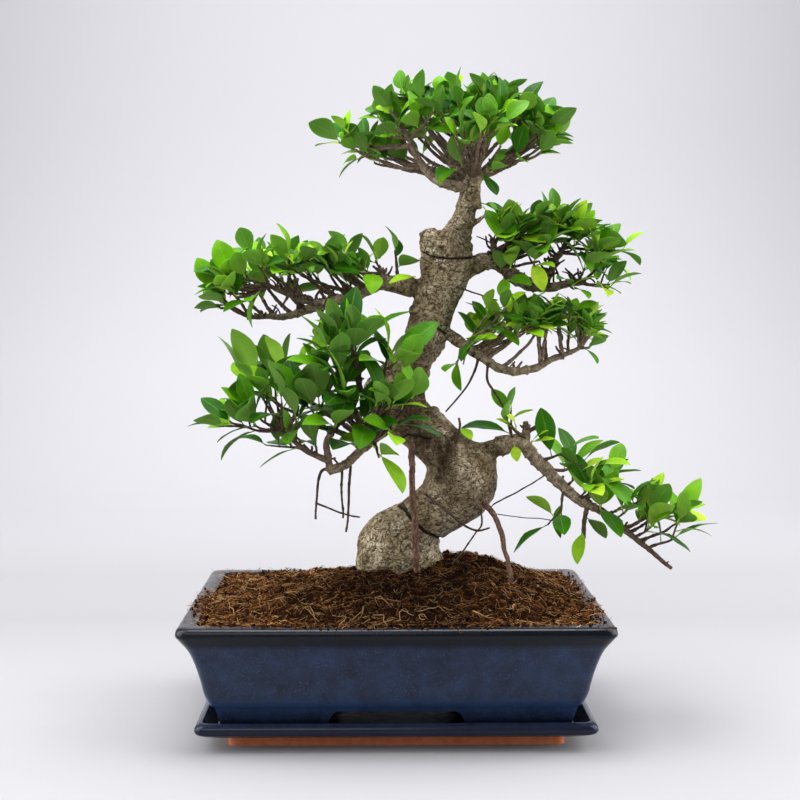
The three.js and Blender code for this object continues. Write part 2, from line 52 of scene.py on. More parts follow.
POT_HALF = (200, 150)
POT_TOP = 118.4
RIM_WIDTH = 18
POT_FLOOR = 42
ARCH_TOP = 35
ARCH_HALF = (53, 67)
FOOT_WIDTH = 15
DRAIN_X = 85
DRAIN_RADIUS = 13
SAUCER_HALF = (185, 134)
SAUCER_FLOOR = 12
SAUCER_TOP = 27
SAUCER_FOOT_INSET = 28
UNGLAZED_HEIGHT = 8.6
SOIL_EDGE = 117
MOUND_HEIGHT = 33

LEAF_ARCH = 0.07
TWIG_TIP_RADIUS = 1
GOLDEN_ANGLE = math.pi * (3 - math.sqrt(5))


# ---------------------------------------------------------------- points and paths
def sight(x, z, depth):
    return EYE.lerp(Vector((x, 0, z)), 1 - depth / EYE.y)


def placed(station):
    x, z, depth, radius = station
    return sight(x, z, depth), radius


def across(a, axis):
    return (a - axis * a.dot(axis)).normalized()


def turned(a, b, angle):
    """The direction a, turned towards b."""
    return a * math.cos(angle) + b * math.sin(angle)


def heading_of(angle, rise):
    return Vector((math.cos(angle), math.sin(angle), rise))


def shaken(draw, down=0.5):
    """A small step any way, which rises more often where down is less than 0.5."""
    return Vector((draw() - 0.5, draw() - 0.5, draw() - down))


def seeded(seed):
    """Draws between 0 and 1, the same ones each run."""
    state = seed

    def draw():
        nonlocal state
        state = (state * 1664525 + 1013904223) % 4294967296
        return state / 4294967296
    return draw


def mixed(a, b, t):
    return a + (b - a) * t


def within(value, low, high):
    return max(low, min(high, value))


def curve_through(values, place):
    """A smooth curve through evenly numbered values, which may be numbers or vectors."""
    last = len(values) - 1
    i = within(int(place), 0, last - 1)
    t = place - i
    a, b = values[max(0, i - 1)], values[i]
    c, d = values[i + 1], values[min(last, i + 2)]
    return b + (c - a) * (t / 2) + (a * 2 - b * 5 + c * 4 - d) * (t * t / 2) + (
        (b - c) * 3 + d - a) * (t ** 3 / 2)


def fine_path(stations, step):
    """Stations (point, radius) about one step apart, on a smooth curve through these."""
    points = [p for p, _ in stations]
    radii = [r for _, r in stations]
    places = []
    for i, (a, b) in enumerate(zip(points, points[1:])):
        count = max(1, round((b - a).length / step))
        places += [i + k / count for k in range(count)]
    places.append(len(points) - 1)
    return [(curve_through(points, place), curve_through(radii, place)) for place in places]


KNOT_STEP = 7.5


def crooked(stations, step, wander, knots):
    """A finer path that wanders a little and swells at its knots. Its ends stay in place."""
    path = fine_path(stations, step)
    last = len(path) - 1
    travelled = 0
    made = []
    for i, (at, radius) in enumerate(path):
        if i:
            travelled += (at - path[i - 1][0]).length
        free = min(1, i * step / 8, (last - i) * step / 8)
        lump = noise.noise(at / 4.5) + max(0.0, math.cos(travelled * 2 * math.pi / KNOT_STEP)) ** 8
        made.append((at + noise.noise_vector(at / 16) * (wander * free), radius * (1 + knots * lump)))
    return made


# ---------------------------------------------------------------- meshes
PLAIN = (0, 0, 0, 1)


class Shape:
    """Gathers points and faces of a mesh, with a material number a face and a tint a point."""

    def __init__(self):
        self.points, self.faces, self.looks, self.tints = [], [], [], []

    def add(self, points, faces, look=0, tint=PLAIN):
        start = len(self.points)
        self.points += points
        self.faces += [tuple(start + i for i in face) for face in faces]
        self.looks += [look] * len(faces)
        self.tints += tint if isinstance(tint, list) else [tint] * len(points)

    def loft(self, rings, look=0, tint=PLAIN):
        count = len(rings[0])
        faces = []
        for r in range(len(rings) - 1):
            for i in range(count):
                a, b = r * count + i, r * count + (i + 1) % count
                faces.append((a, b, b + count, a + count))
        last = (len(rings) - 1) * count
        faces.append(tuple(reversed(range(count))))
        faces.append(tuple(range(last, last + count)))
        self.add([p for ring in rings for p in ring], faces, look, tint)

    def tube(self, stations, sides, look=0, tint=PLAIN):
        rings = []
        side = None
        for i, (at, radius) in enumerate(stations):
            before = stations[max(0, i - 1)][0]
            after = stations[min(len(stations) - 1, i + 1)][0]
            along = (after - before).normalized()
            start = Vector((1, 0, 0)) if abs(along.z) > 0.9 else UP
            side = across(side or start, along)
            other = along.cross(side)
            rings.append([at + side * (radius * math.cos(a)) + other * (radius * math.sin(a))
                          for a in (2 * math.pi * k / sides for k in range(sides))])
        self.loft(rings, look, tint)

    def build(self, name, looks, smooth_angle=None):
        mesh = bpy.data.meshes.new(name)
        mesh.from_pydata([p * MM for p in self.points], [], self.faces)
        for look in looks:
            mesh.materials.append(look)
        mesh.polygons.foreach_set("material_index", self.looks)
        add_tints(mesh, self.tints)
        mesh.shade_smooth()
        if smooth_angle:
            mesh.set_sharp_from_angle(angle=math.radians(smooth_angle))
        return linked(name, mesh)


def add_tints(mesh, tints):
    layer = mesh.color_attributes.new("tint", "FLOAT_COLOR", "POINT")
    layer.data.foreach_set("color", [value for tint in tints for value in tint])


def linked(name, content):
    obj = bpy.data.objects.new(name, content)
    bpy.context.scene.collection.objects.link(obj)
    return obj


def with_modifier(obj, kind, **settings):
    """Puts one modifier on an object and applies it."""
    modifier = obj.modifiers.new(kind.lower(), kind)
    for key, value in settings.items():
        setattr(modifier, key, value)
    graph = bpy.context.evaluated_depsgraph_get()
    old = obj.data
    obj.data = bpy.data.meshes.new_from_object(obj.evaluated_get(graph), depsgraph=graph)
    obj.modifiers.clear()
    bpy.data.meshes.remove(old)
    return obj


def cut(obj, *cutters):
    for cutter in cutters:
        with_modifier(obj, "BOOLEAN", operation="DIFFERENCE", solver="EXACT", object=cutter)
        bpy.data.objects.remove(cutter)


def finished(obj, slot, *nodes):
    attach(obj, "root")
    if nodes:
        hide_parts(*nodes)


# ---------------------------------------------------------------- material building blocks
def rgba(color):
    return (*color, 1) if isinstance(color, tuple) else color


class Graph:
    """The nodes of a material or a world. Its methods take numbers or sockets and return sockets."""

    def __init__(self, owner):
        owner.use_nodes = True
        self.owner, self.tree = owner, owner.node_tree

    def node(self, kind, inputs=None, **settings):
        made = self.tree.nodes.new("ShaderNode" + kind)
        for key, value in settings.items():
            setattr(made, key, value)
        for key, value in (inputs or {}).items():
            if isinstance(value, bpy.types.NodeSocket):
                self.tree.links.new(value, made.inputs[key])
            else:
                made.inputs[key].default_value = value
        return made

    def ramp(self, value, *stops):
        made = self.node("ValToRGB", {"Fac": value})
        elements = made.color_ramp.elements
        while len(elements) < len(stops):
            elements.new(0.5)
        for element, (at, color) in zip(elements, stops):
            element.position = at
            element.color = rgba(color if isinstance(color, tuple) else (color, color, color))
        return made.outputs["Color"]

    def mix(self, factor, a, b, kind="MIX"):
        inputs = {0: factor, 6: rgba(a), 7: rgba(b)}
        return self.node("Mix", inputs, data_type="RGBA", blend_type=kind).outputs[2]

    def calc(self, kind, a, b=0):
        return self.node("Math", {0: a, 1: b}, operation=kind).outputs[0]

    def times(self, a, b):
        return self.calc("MULTIPLY", a, b)

    def plus(self, a, b):
        return self.calc("ADD", a, b)

    def minus(self, a, b):
        return self.calc("SUBTRACT", a, b)

    def vector(self, kind, a, b, out="Vector"):
        return self.node("VectorMath", {0: a, 1: b}, operation=kind).outputs[out]

    def share(self, value, low, high, least=0):
        """How far a value is on its way from low to high: at least this, and up to 1."""
        return self.node("MapRange", {0: value, 1: low, 2: high, 3: least}).outputs[0]


class Look(Graph):
    """A material. Its textures lie at the surface's own place in millimetres, or at one given."""

    def __init__(self, name, **settings):
        super().__init__(bpy.data.materials.new(name))
        self.shader = self.tree.nodes["Principled BSDF"]
        for key, value in settings.items():
            self.shader.inputs[key.replace("_", " ")].default_value = value
        own = self.node("TexCoord").outputs["Object"]
        self.place = self.node("VectorMath", {0: own, "Scale": 1 / MM}, operation="SCALE").outputs[0]

    def texture(self, kind, size, at, inputs=None, **settings):
        at = self.place if at is None else at
        return self.node(kind, {"Vector": at, "Scale": 1 / size, **(inputs or {})}, **settings).outputs

    def noise(self, size, detail=4, rough=0.55, at=None):
        return self.texture("TexNoise", size, at, {"Detail": detail, "Roughness": rough})["Fac"]

    def cells(self, size, at=None):
        return self.texture("TexVoronoi", size, at)["Distance"]

    def drifting(self, size, at=None):
        """The place moved about by a noise of this size, by up to half as much each way."""
        at = self.place if at is None else at
        drift = self.texture("TexNoise", size, at, {"Detail": 3})["Color"]
        inputs = {0: drift, 1: (size, size, size), 2: at}
        return self.node("VectorMath", inputs, operation="MULTIPLY_ADD").outputs[0]

    def stretched(self, factor, at=None):
        """The place with its height counted this many times."""
        return self.vector("MULTIPLY", self.place if at is None else at, (1, 1, factor))

    def height(self, low, high):
        """How far up the place is between two heights, from 0 to 1."""
        return self.share(self.node("SeparateXYZ", {0: self.place}).outputs["Z"], low, high)

    def tint(self):
        made = self.node("Attribute", attribute_name="tint")
        split = self.node("SeparateColor", {"Color": made.outputs["Color"]})
        return (*split.outputs, made.outputs["Alpha"])

    def finish(self, color, rough, height=None, relief=0, strength=0):
        links, sockets = self.tree.links, self.shader.inputs
        links.new(color, sockets["Base Color"])
        links.new(rough, sockets["Roughness"])
        if height is not None:
            inputs = {"Height": height, "Distance": relief * MM, "Strength": strength}
            links.new(self.node("Bump", inputs).outputs[0], sockets["Normal"])
        return self.owner


# ---------------------------------------------------------------- materials
def glaze_material():
    mat = Look("glaze", Specular_IOR_Level=0.24)
    clouds = mat.noise(22, 5, 0.65, mat.drifting(30))
    color = mat.ramp(clouds, (0.28, (0.010, 0.015, 0.031)), (0.5, (0.016, 0.027, 0.061)),
                 (0.72, (0.021, 0.040, 0.098)))
    # Fine brighter drops stand in the glaze, in patches.
    drops = mat.ramp(mat.noise(1.7, 2), (0.56, 0), (0.7, 1))
    patches = mat.ramp(mat.noise(13, 3), (0.4, 0.15), (0.65, 1))
    color = mat.mix(mat.times(drops, patches), color, (0.036, 0.068, 0.140))
    stars = mat.times(mat.ramp(mat.cells(6.0), (0.03, 1), (0.08, 0)),
                 mat.ramp(mat.noise(20, 3), (0.45, 0), (0.6, 0.5)))
    color = mat.mix(stars, color, (0.20, 0.25, 0.32))
    # Over the rim and just under its overhang the glaze is painted nearly black: thin glaze over the edge,
    # and painted shade under the overhang.
    lip = mat.ramp(mat.height(98.0, 108.0), (0.0, 0), (0.6, 0.94))
    color = mat.mix(lip, color, (0.003, 0.0035, 0.006))
    # Above the feet a brighter blue band is painted sheen, where the base flare catches the light.
    painted_sheen = mat.ramp(mat.height(30.0, 54.0), (0.1, 0), (0.45, 0.5), (0.9, 0))
    color = mat.mix(painted_sheen, color, (0.026, 0.062, 0.150))
    # Below about 25 mm the glaze is painted nearly black: painted shade on the pot's feet, under its arches
    # and between pot and saucer; the saucer's glaze is darkened by it too.
    low = mat.ramp(mat.height(0.0, 40.0), (0.62, 0.8), (0.72, 0))
    color = mat.mix(low, color, (0.006, 0.007, 0.018))
    rough = mat.ramp(mat.noise(14, 4), (0.3, 0.12), (0.7, 0.27))
    height = mat.mix(0.4, mat.noise(6, 3), drops)
    return mat.finish(color, rough, height, 0.3, 0.3)


def terracotta_material():
    mat = Look("terracotta", Specular_IOR_Level=0.2)
    color = mat.ramp(mat.noise(8, 5), (0.3, (0.66, 0.195, 0.083)),
                 (0.7, (0.81, 0.290, 0.140)))
    rough = mat.ramp(mat.noise(3), (0.3, 0.75), (0.7, 0.95))
    return mat.finish(color, rough, mat.noise(0.9), 0.3, 0.5)


def bark_material():
    """Pale skin with cracks and wrinkles. The tint's red is how deep a point lies in a groove, its
    green how near it is to a dark patch, partly stain and partly painted shadow."""
    mat = Look("bark", Specular_IOR_Level=0.12)
    groove, dark_patch = mat.tint()[:2]
    skin = mat.drifting(6, mat.drifting(26))
    # Cracks run between small plates, and open and close along their way.
    away = mat.texture("TexVoronoi", 5.4, mat.stretched(1.3, skin), feature="DISTANCE_TO_EDGE")
    plates = mat.times(mat.ramp(away["Distance"], (0, 1), (0.15, 0)),
                       mat.ramp(mat.noise(5, 3), (0.38, 0.1), (0.54, 1)))
    # Wrinkles run like contours on a map, where a noise keeps its height, in some patches.
    level = mat.calc("PINGPONG", mat.times(mat.noise(34, at=mat.stretched(2.2)), 22), 1)
    wrinkles = mat.times(mat.ramp(level, (0, 1), (0.36, 0)),
                         mat.ramp(mat.noise(18, 3), (0.4, 0), (0.52, 1)))
    flakes = mat.ramp(mat.noise(3.2, 4, 0.65, skin), (0.36, 0), (0.47, 0.8), (0.6, 1))
    pits = mat.ramp(mat.cells(4.4, skin), (0.1, 1), (0.17, 0))
    base = mat.ramp(mat.noise(30, 6, 0.68), (0.34, (0.19, 0.130, 0.066)),
                (0.48, (0.42, 0.330, 0.200)), (0.62, (0.70, 0.595, 0.420)))
    # The knee and the middle of the trunk are painted darker brown, partly a stain and partly painted shade;
    # the foot and the top are paler.
    stain_and_painted_shade = mat.ramp(mat.height(140.0, 480.0), (0.0, 0), (0.2, 0.15), (0.34, 0.5),
                 (0.55, 0.85), (0.72, 0.2), (1.0, 0))
    stain_and_painted_shade = mat.times(stain_and_painted_shade, mat.ramp(mat.noise(20, 5), (0.42, 0), (0.58, 1)))
    base = mat.mix(stain_and_painted_shade, base, (0.13, 0.090, 0.046))
    color = mat.mix(flakes, (0.16, 0.115, 0.066), base)
    color = mat.mix(mat.times(wrinkles, 0.75), color, (0.055, 0.038, 0.021))
    color = mat.mix(mat.times(plates, 0.9), color, (0.030, 0.020, 0.011))
    color = mat.mix(pits, color, (0.024, 0.016, 0.010))
    # Near those lines the bark is streaked dark: partly stain, partly painted shadow.
    streaks = mat.ramp(mat.noise(4, at=mat.stretched(0.4)), (0.38, 0.45), (0.52, 1))
    streaks = mat.times(dark_patch, streaks)
    color = mat.mix(streaks, color, (0.036, 0.022, 0.010))
    # The grooves, pits and folds are painted darker: painted shade in the hollows, with some dirt.
    color = mat.mix(mat.ramp(groove, (0.15, 0), (0.75, 0.92)), color, (0.020, 0.014, 0.009))
    height = mat.minus(mat.minus(flakes, mat.plus(plates, wrinkles)), pits)
    height = mat.plus(height, mat.times(mat.noise(1.4), 0.5))
    rough = mat.ramp(flakes, (0.0, 0.95), (1.0, 0.78))
    return mat.finish(color, rough, height, 0.9, 0.8)


def twig_material():
    """Wood of the branches. The tint's red says how thick it is and its green how pale."""
    mat = Look("twig_bark", Specular_IOR_Level=0.15)
    thick, pale = mat.tint()[:2]
    thin_color = mat.ramp(mat.noise(4, 5, 0.65), (0.3, (0.030, 0.018, 0.012)),
                      (0.7, (0.115, 0.074, 0.050)))
    pale_color = mat.ramp(mat.noise(4, 5, 0.65), (0.3, (0.13, 0.085, 0.055)),
                      (0.7, (0.42, 0.31, 0.22)))
    thick_color = mat.ramp(mat.noise(5, 6, 0.7), (0.32, (0.10, 0.070, 0.040)),
                       (0.45, (0.27, 0.205, 0.130)), (0.64, (0.50, 0.41, 0.29)))
    color = mat.mix(thick, mat.mix(pale, thin_color, pale_color), thick_color)
    scars = mat.ramp(mat.cells(3.0), (0.14, 1), (0.26, 0))
    # Thin dark strokes wander where a noise passes its middle value.
    away = mat.calc("ABSOLUTE", mat.minus(mat.noise(4.5, 2, at=mat.drifting(6)), 0.5))
    strokes = mat.ramp(away, (0, 1), (0.05, 0))
    dark = mat.calc("MAXIMUM", mat.times(scars, 0.7), mat.times(strokes, 0.6))
    color = mat.mix(dark, color, (0.022, 0.015, 0.010))
    height = mat.minus(mat.noise(1.6, 5, 0.7), dark)
    rough = mat.ramp(mat.noise(3), (0.3, 0.7), (0.7, 0.92))
    return mat.finish(color, rough, height, 0.6, 0.8)


def aerial_root_material():
    mat = Look("aerial_root", Specular_IOR_Level=0.25)
    color = mat.ramp(mat.noise(3, 5, 0.65, mat.stretched(0.35)), (0.3, (0.045, 0.02, 0.012)),
                     (0.5, (0.11, 0.056, 0.034)), (0.7, (0.24, 0.14, 0.092)))
    specks = mat.ramp(mat.cells(3.0), (0.10, 1), (0.16, 0))
    color = mat.mix(mat.times(specks, 0.7), color, (0.52, 0.40, 0.30))
    rough = mat.ramp(mat.noise(4), (0.3, 0.55), (0.7, 0.85))
    return mat.finish(color, rough, mat.noise(1.8, 5), 0.6, 0.7)


def soil_material():
    """Coir. The tint's red runs from dark crumbs to pale fibres."""
    mat = Look("soil", Specular_IOR_Level=0.05)
    shade = mat.tint()[0]
    mottle = mat.noise(4, 5, 0.7)
    value = mat.plus(shade, mat.times(mat.minus(mottle, 0.5), 0.4))
    color = mat.ramp(value, (0.08, (0.006, 0.0022, 0.001)), (0.34, (0.055, 0.019, 0.006)),
                 (0.56, (0.22, 0.086, 0.025)), (0.78, (0.50, 0.235, 0.075)), (1.0, (0.85, 0.57, 0.28)))
    # Near the trunk the coir is painted darker, towards the rim paler, in patches.
    away = mat.vector("DISTANCE", mat.place, (10, -50, 130), "Value")
    paler_towards_rim = mat.times(mat.share(away, 50, 150, 0.36), mat.ramp(mat.noise(26, 3), (0.38, 0.6), (0.6, 1)))
    color = mat.mix(1.0, color, paler_towards_rim, "MULTIPLY")
    rough = mat.ramp(mottle, (0.3, 0.8), (0.7, 0.98))
    return mat.finish(color, rough, mottle, 1.0, 0.6)


def leaf_material():
    """The tint holds a leaf's age, how far a point is from its midrib, how far along, and its face."""
    mat = Look("leaf", Subsurface_Weight=0.2, Subsurface_Scale=0.0015, Subsurface_Radius=(0.5, 1, 0.1),
               Specular_IOR_Level=0.09)
    age, aside, along, under = mat.tint()
    color = mat.ramp(age, (0.0, (0.008, 0.058, 0.001)), (0.3, (0.034, 0.165, 0.002)),
                 (0.6, (0.135, 0.370, 0.005)), (0.85, (0.34, 0.60, 0.016)), (1.0, (0.54, 0.72, 0.045)))
    patches = mat.ramp(mat.noise(10, 4), (0.3, 0.74), (0.7, 1.05))
    color = mat.mix(1.0, color, patches, "MULTIPLY")
    slant = mat.minus(mat.times(along, 62), mat.times(aside, 20))
    veins = mat.ramp(mat.calc("SINE", slant), (0.8, 0), (1.0, 1))
    color = mat.mix(mat.times(veins, 0.10), color, (0.22, 0.46, 0.04))
    color = mat.mix(mat.times(under, 0.5), color, (0.21, 0.36, 0.075))
    midrib = mat.ramp(aside, (0.02, 1), (0.09, 0))
    color = mat.mix(mat.times(midrib, 0.22), color, (0.30, 0.52, 0.07))
    rough = mat.ramp(mat.noise(7), (0.3, 0.3), (0.7, 0.46))
    rough = mat.plus(rough, mat.times(under, 0.25))
    height = mat.minus(mat.noise(4), mat.times(veins, 0.4))
    return mat.finish(color, rough, height, 0.3, 0.4)


def mesh_plastic_material():
    mat = Look("mesh_plastic")
    color = mat.ramp(mat.noise(5), (0.3, (0.012, 0.012, 0.012)), (0.7, (0.03, 0.03, 0.03)))
    rough = mat.ramp(mat.noise(3), (0.3, 0.5), (0.7, 0.7))
    return mat.finish(color, rough, mat.noise(0.8), 0.1, 0.3)


GLAZE = glaze_material()
TERRACOTTA = terracotta_material()
BARK = bark_material()
TWIG = twig_material()
AERIAL = aerial_root_material()
SOIL = soil_material()
LEAF = leaf_material()

# ---------------------------------------------------------------- pot and saucer
POT_OUTSIDE = (
    (39, SAUCER_FLOOR + GAP, 6), (35, 27, 7), (31, 39, 8), (28, 41, 9), (23, 52, 11), (20.5, 63, 12),
    (16, 80, 12), (10.5, 94.6, 12), (2.5, 107, 12), (0, 111, 12), (0.8, 116, 12), (3.4, POT_TOP, 11))
POT_INSIDE = ((38, POT_FLOOR, 8), (29, 66, 10), (24, 92, 10), (19, 114, 9), (RIM_WIDTH - 0.8, POT_TOP, 9))
SAUCER_OUTSIDE = (
    (SAUCER_FOOT_INSET, 0, 8), (SAUCER_FOOT_INSET, 8, 8), (22, 9, 9), (4, 15.5, 9), (0, 19, 9),
    (0.6, 24, 9), (4.5, SAUCER_TOP, 8))
SAUCER_INSIDE = ((16, SAUCER_FLOOR, 8), (12, 17, 8), (8.5, 23, 8), (6.6, SAUCER_TOP, 8))
PER_CORNER = 9


def rounded_rectangle(half, radius, z, per_edge=0):
    points = []
    corners = ((1, -1), (1, 1), (-1, 1), (-1, -1))

    def on_corner(corner, angle):
        return Vector((corner[0] * (half[0] - radius) + radius * math.cos(angle),
                       corner[1] * (half[1] - radius) + radius * math.sin(angle), z))
    for c, corner in enumerate(corners):
        for i in range(PER_CORNER):
            points.append(on_corner(corner, (c - 1 + i / (PER_CORNER - 1)) * math.pi / 2))
        to = on_corner(corners[(c + 1) % 4], c * math.pi / 2)
        start = points[-1]
        points += [start.lerp(to, i / (per_edge + 1)) for i in range(1, per_edge + 1)]
    return points


def smooth_profile(rows, per_row=4):
    values = [Vector(row) for row in rows]
    count = (len(rows) - 1) * per_row
    return [tuple(curve_through(values, k / per_row)) for k in range(count + 1)]


def add_tray(shape, half, outside, inside):
    """A tray's outside, lip and inside as one closed skin."""
    lip_in, lip_z, lip_r = inside[-1]
    out_in, out_z, _ = outside[-1]
    lip = [((out_in + lip_in) / 2, max(lip_z, out_z) + 0.1, lip_r)]
    rows = smooth_profile(outside) + lip + list(reversed(smooth_profile(inside)))
    shape.loft([rounded_rectangle((half[0] - inset, half[1] - inset), radius, z)
                for inset, z, radius in rows])


def block(half, low, high):
    shape = Shape()
    shape.loft([rounded_rectangle(half, 6, z) for z in (low, high)])
    return shape.build("cutter", [])


def bezier(points, t):
    a, b, c, d = (Vector(p) for p in points)
    s = 1 - t
    return a * s ** 3 + b * (3 * s * s * t) + c * (3 * s * t * t) + d * t ** 3


def arch_cutter():
    """Runs under the pot from front to back, and shapes the two arches."""
    top, foot = ARCH_HALF
    low = SAUCER_FLOOR - 1
    bend = low + 12
    handles = ((foot, low), (foot - 4, bend), (top + 8, ARCH_TOP), (top, ARCH_TOP))
    right = [bezier(handles, k / 12) for k in range(13)]
    left = [Vector((-p.x, p.y)) for p in reversed(right)]
    shape = Shape()
    reach = POT_HALF[1]
    shape.loft([[Vector((p.x, y, p.y)) for p in right + left] for y in (reach, -reach)])
    return shape.build("cutter", [])


def drain_cutter(x):
    shape = Shape()
    ends = (ARCH_TOP - 2, POT_FLOOR + 2)
    shape.tube([(Vector((x, 0, z)), DRAIN_RADIUS) for z in ends], 32)
    return shape.build("cutter", [])


def make_pot():
    shape = Shape()
    add_tray(shape, POT_HALF, POT_OUTSIDE, POT_INSIDE)
    pot = shape.build("glazed_pot", [GLAZE])
    foot = POT_OUTSIDE[1][0] + FOOT_WIDTH
    underside = block((POT_HALF[0] - foot, POT_HALF[1] - foot), SAUCER_FLOOR - 1, ARCH_TOP)
    cut(pot, underside, arch_cutter(), drain_cutter(-DRAIN_X), drain_cutter(DRAIN_X))
    pot.data.set_sharp_from_angle(angle=math.radians(38))
    finished(pot, "glaze", "pot")


def make_saucer():
    shape = Shape()
    add_tray(shape, SAUCER_HALF, SAUCER_OUTSIDE, SAUCER_INSIDE)
    for i, face in enumerate(shape.faces):
        if max(shape.points[k].z for k in face) < UNGLAZED_HEIGHT:
            shape.looks[i] = 1
    finished(shape.build("glazed_saucer", [GLAZE, TERRACOTTA], 40), "glaze", "saucer")


# ---------------------------------------------------------------- soil
FIBRES = 15000
CRUMBS = 5200
SOIL_ROWS = 92
SOIL_PER_EDGE = 64
SOIL_HALF = (181, 131)
# Fibres follow the ground up to this far from the middle, and loose coir is dropped up to SPILL_HALF.
GROUND_HALF = (196, 146)
SPILL_HALF = (197, 147)
# Where coir lies on the rim: middle (x, y), half lengths, and how high it is heaped.
SPILLS = (((-186, -30), (8, 44), 5), ((187, -60), (7, 62), 4), ((0, -137), (66, 9), 5),
          ((95, -136), (46, 7), 3.4), ((-100, -136), (48, 7), 3.2), ((-60, 136), (70, 6), 3),
          ((186, 60), (6, 34), 3))
# Long pale roots that lie over the front: start (x, y), the way they run in degrees, and how long.
ROOT_FIBRES = (((-30, -112), 250, 26), ((-12, -118), 280, 30), ((6, -110), 262, 34), ((20, -120), 300, 24),
               ((-46, -120), 230, 22), ((38, -108), 276, 30), ((-80, -104), 255, 24), ((70, -114), 290, 22),
               ((-149, -33), 200, 26), ((-20, -96), 320, 34), ((110, -96), 250, 26), ((-120, -80), 300, 28))


def lump(x, y, middle, spread, height):
    return height * math.exp(-((x - middle[0]) ** 2 + (y - middle[1]) ** 2) / (spread * spread))


def soil_height(x, y):
    edge = ((x / SOIL_HALF[0]) ** 4 + (y / SOIL_HALF[1]) ** 4) ** 0.25
    fade = max(0.0, 1 - edge ** 2.4)
    waves = 1.6 * math.sin(x * 0.075 + 1) * math.cos(y * 0.09) + 1.1 * math.sin(x * 0.16 - y * 0.13)
    lumps = (lump(x, y, (78, 22), 42, 8) + lump(x, y, (-10, 50), 50, 3) + lump(x, y, (120, -40), 40, 4)
             - lump(x, y, (-110, -30), 50, 4))
    return SOIL_EDGE + MOUND_HEIGHT * fade + (waves + lumps) * min(1, fade * 2.5)


def spill_height(x, y):
    """How high the coir that lies on the rim reaches above it."""
    return max(height * math.exp(-((x - cx) / hx) ** 2 - ((y - cy) / hy) ** 2)
               for (cx, cy), (hx, hy), height in SPILLS)


def crumbly_height(x, y):
    place = Vector((x, y, 0))
    clumps = noise.fractal(place / 17, 0.8, 2.2, 5) * 4.4 + noise.noise(place / 4.1) * 1.9
    pits = min(0.0, noise.noise(place / 8.5) + 0.15) * 4
    edge = max(abs(x) / SOIL_HALF[0], abs(y) / SOIL_HALF[1])
    kept = within((1.03 - edge) * 14, 0.25, 1)
    sunk = lump(x, y, (-80, 50), 75, 15)
    return soil_height(x, y) + (clumps + pits - sunk) * kept + spill_height(x, y)


def add_fibre(shape, draw, start, heading, long, radius, shade):
    """A short bent fibre that wanders along the surface of the coir."""
    at = start.copy()
    along = heading.normalized()
    lift = start.z - crumbly_height(start.x, start.y)
    stations = []
    spans = 4
    for k in range(spans + 1):
        stations.append((at.copy(), radius * (1 - 0.45 * k / spans)))
        along = (along + shaken(draw, 0.45) * 0.95).normalized()
        at = at + along * (long / spans)
        if abs(at.x) < GROUND_HALF[0] and abs(at.y) < GROUND_HALF[1]:
            over_rim = abs(at.x) > SOIL_HALF[0] or abs(at.y) > SOIL_HALF[1]
            ground = max(crumbly_height(at.x, at.y), POT_TOP * over_rim)
            at.z = mixed(at.z, ground + lift + 0.5, 0.55)
    shape.tube(stations, 3, 0, (shade, 0, 0, 1))


def add_crumb(shape, draw, at, size, shade):
    heading = shaken(draw).normalized()
    radii = (0.35, 0.9 + 0.3 * draw(), 0.8 + 0.3 * draw(), 0.3)
    stations = [(at + heading * (size * (k - 1.5) * 0.6), size * r) for k, r in enumerate(radii)]
    shape.tube(stations, 5, 0, (shade, 0, 0, 1))


def outward_of(p, half_x, half_y):
    """The way out to the nearest side of the pot."""
    if abs(p.x) / half_x > abs(p.y) / half_y:
        return Vector((math.copysign(1, p.x), 0, 0))
    return Vector((0, math.copysign(1, p.y), 0))


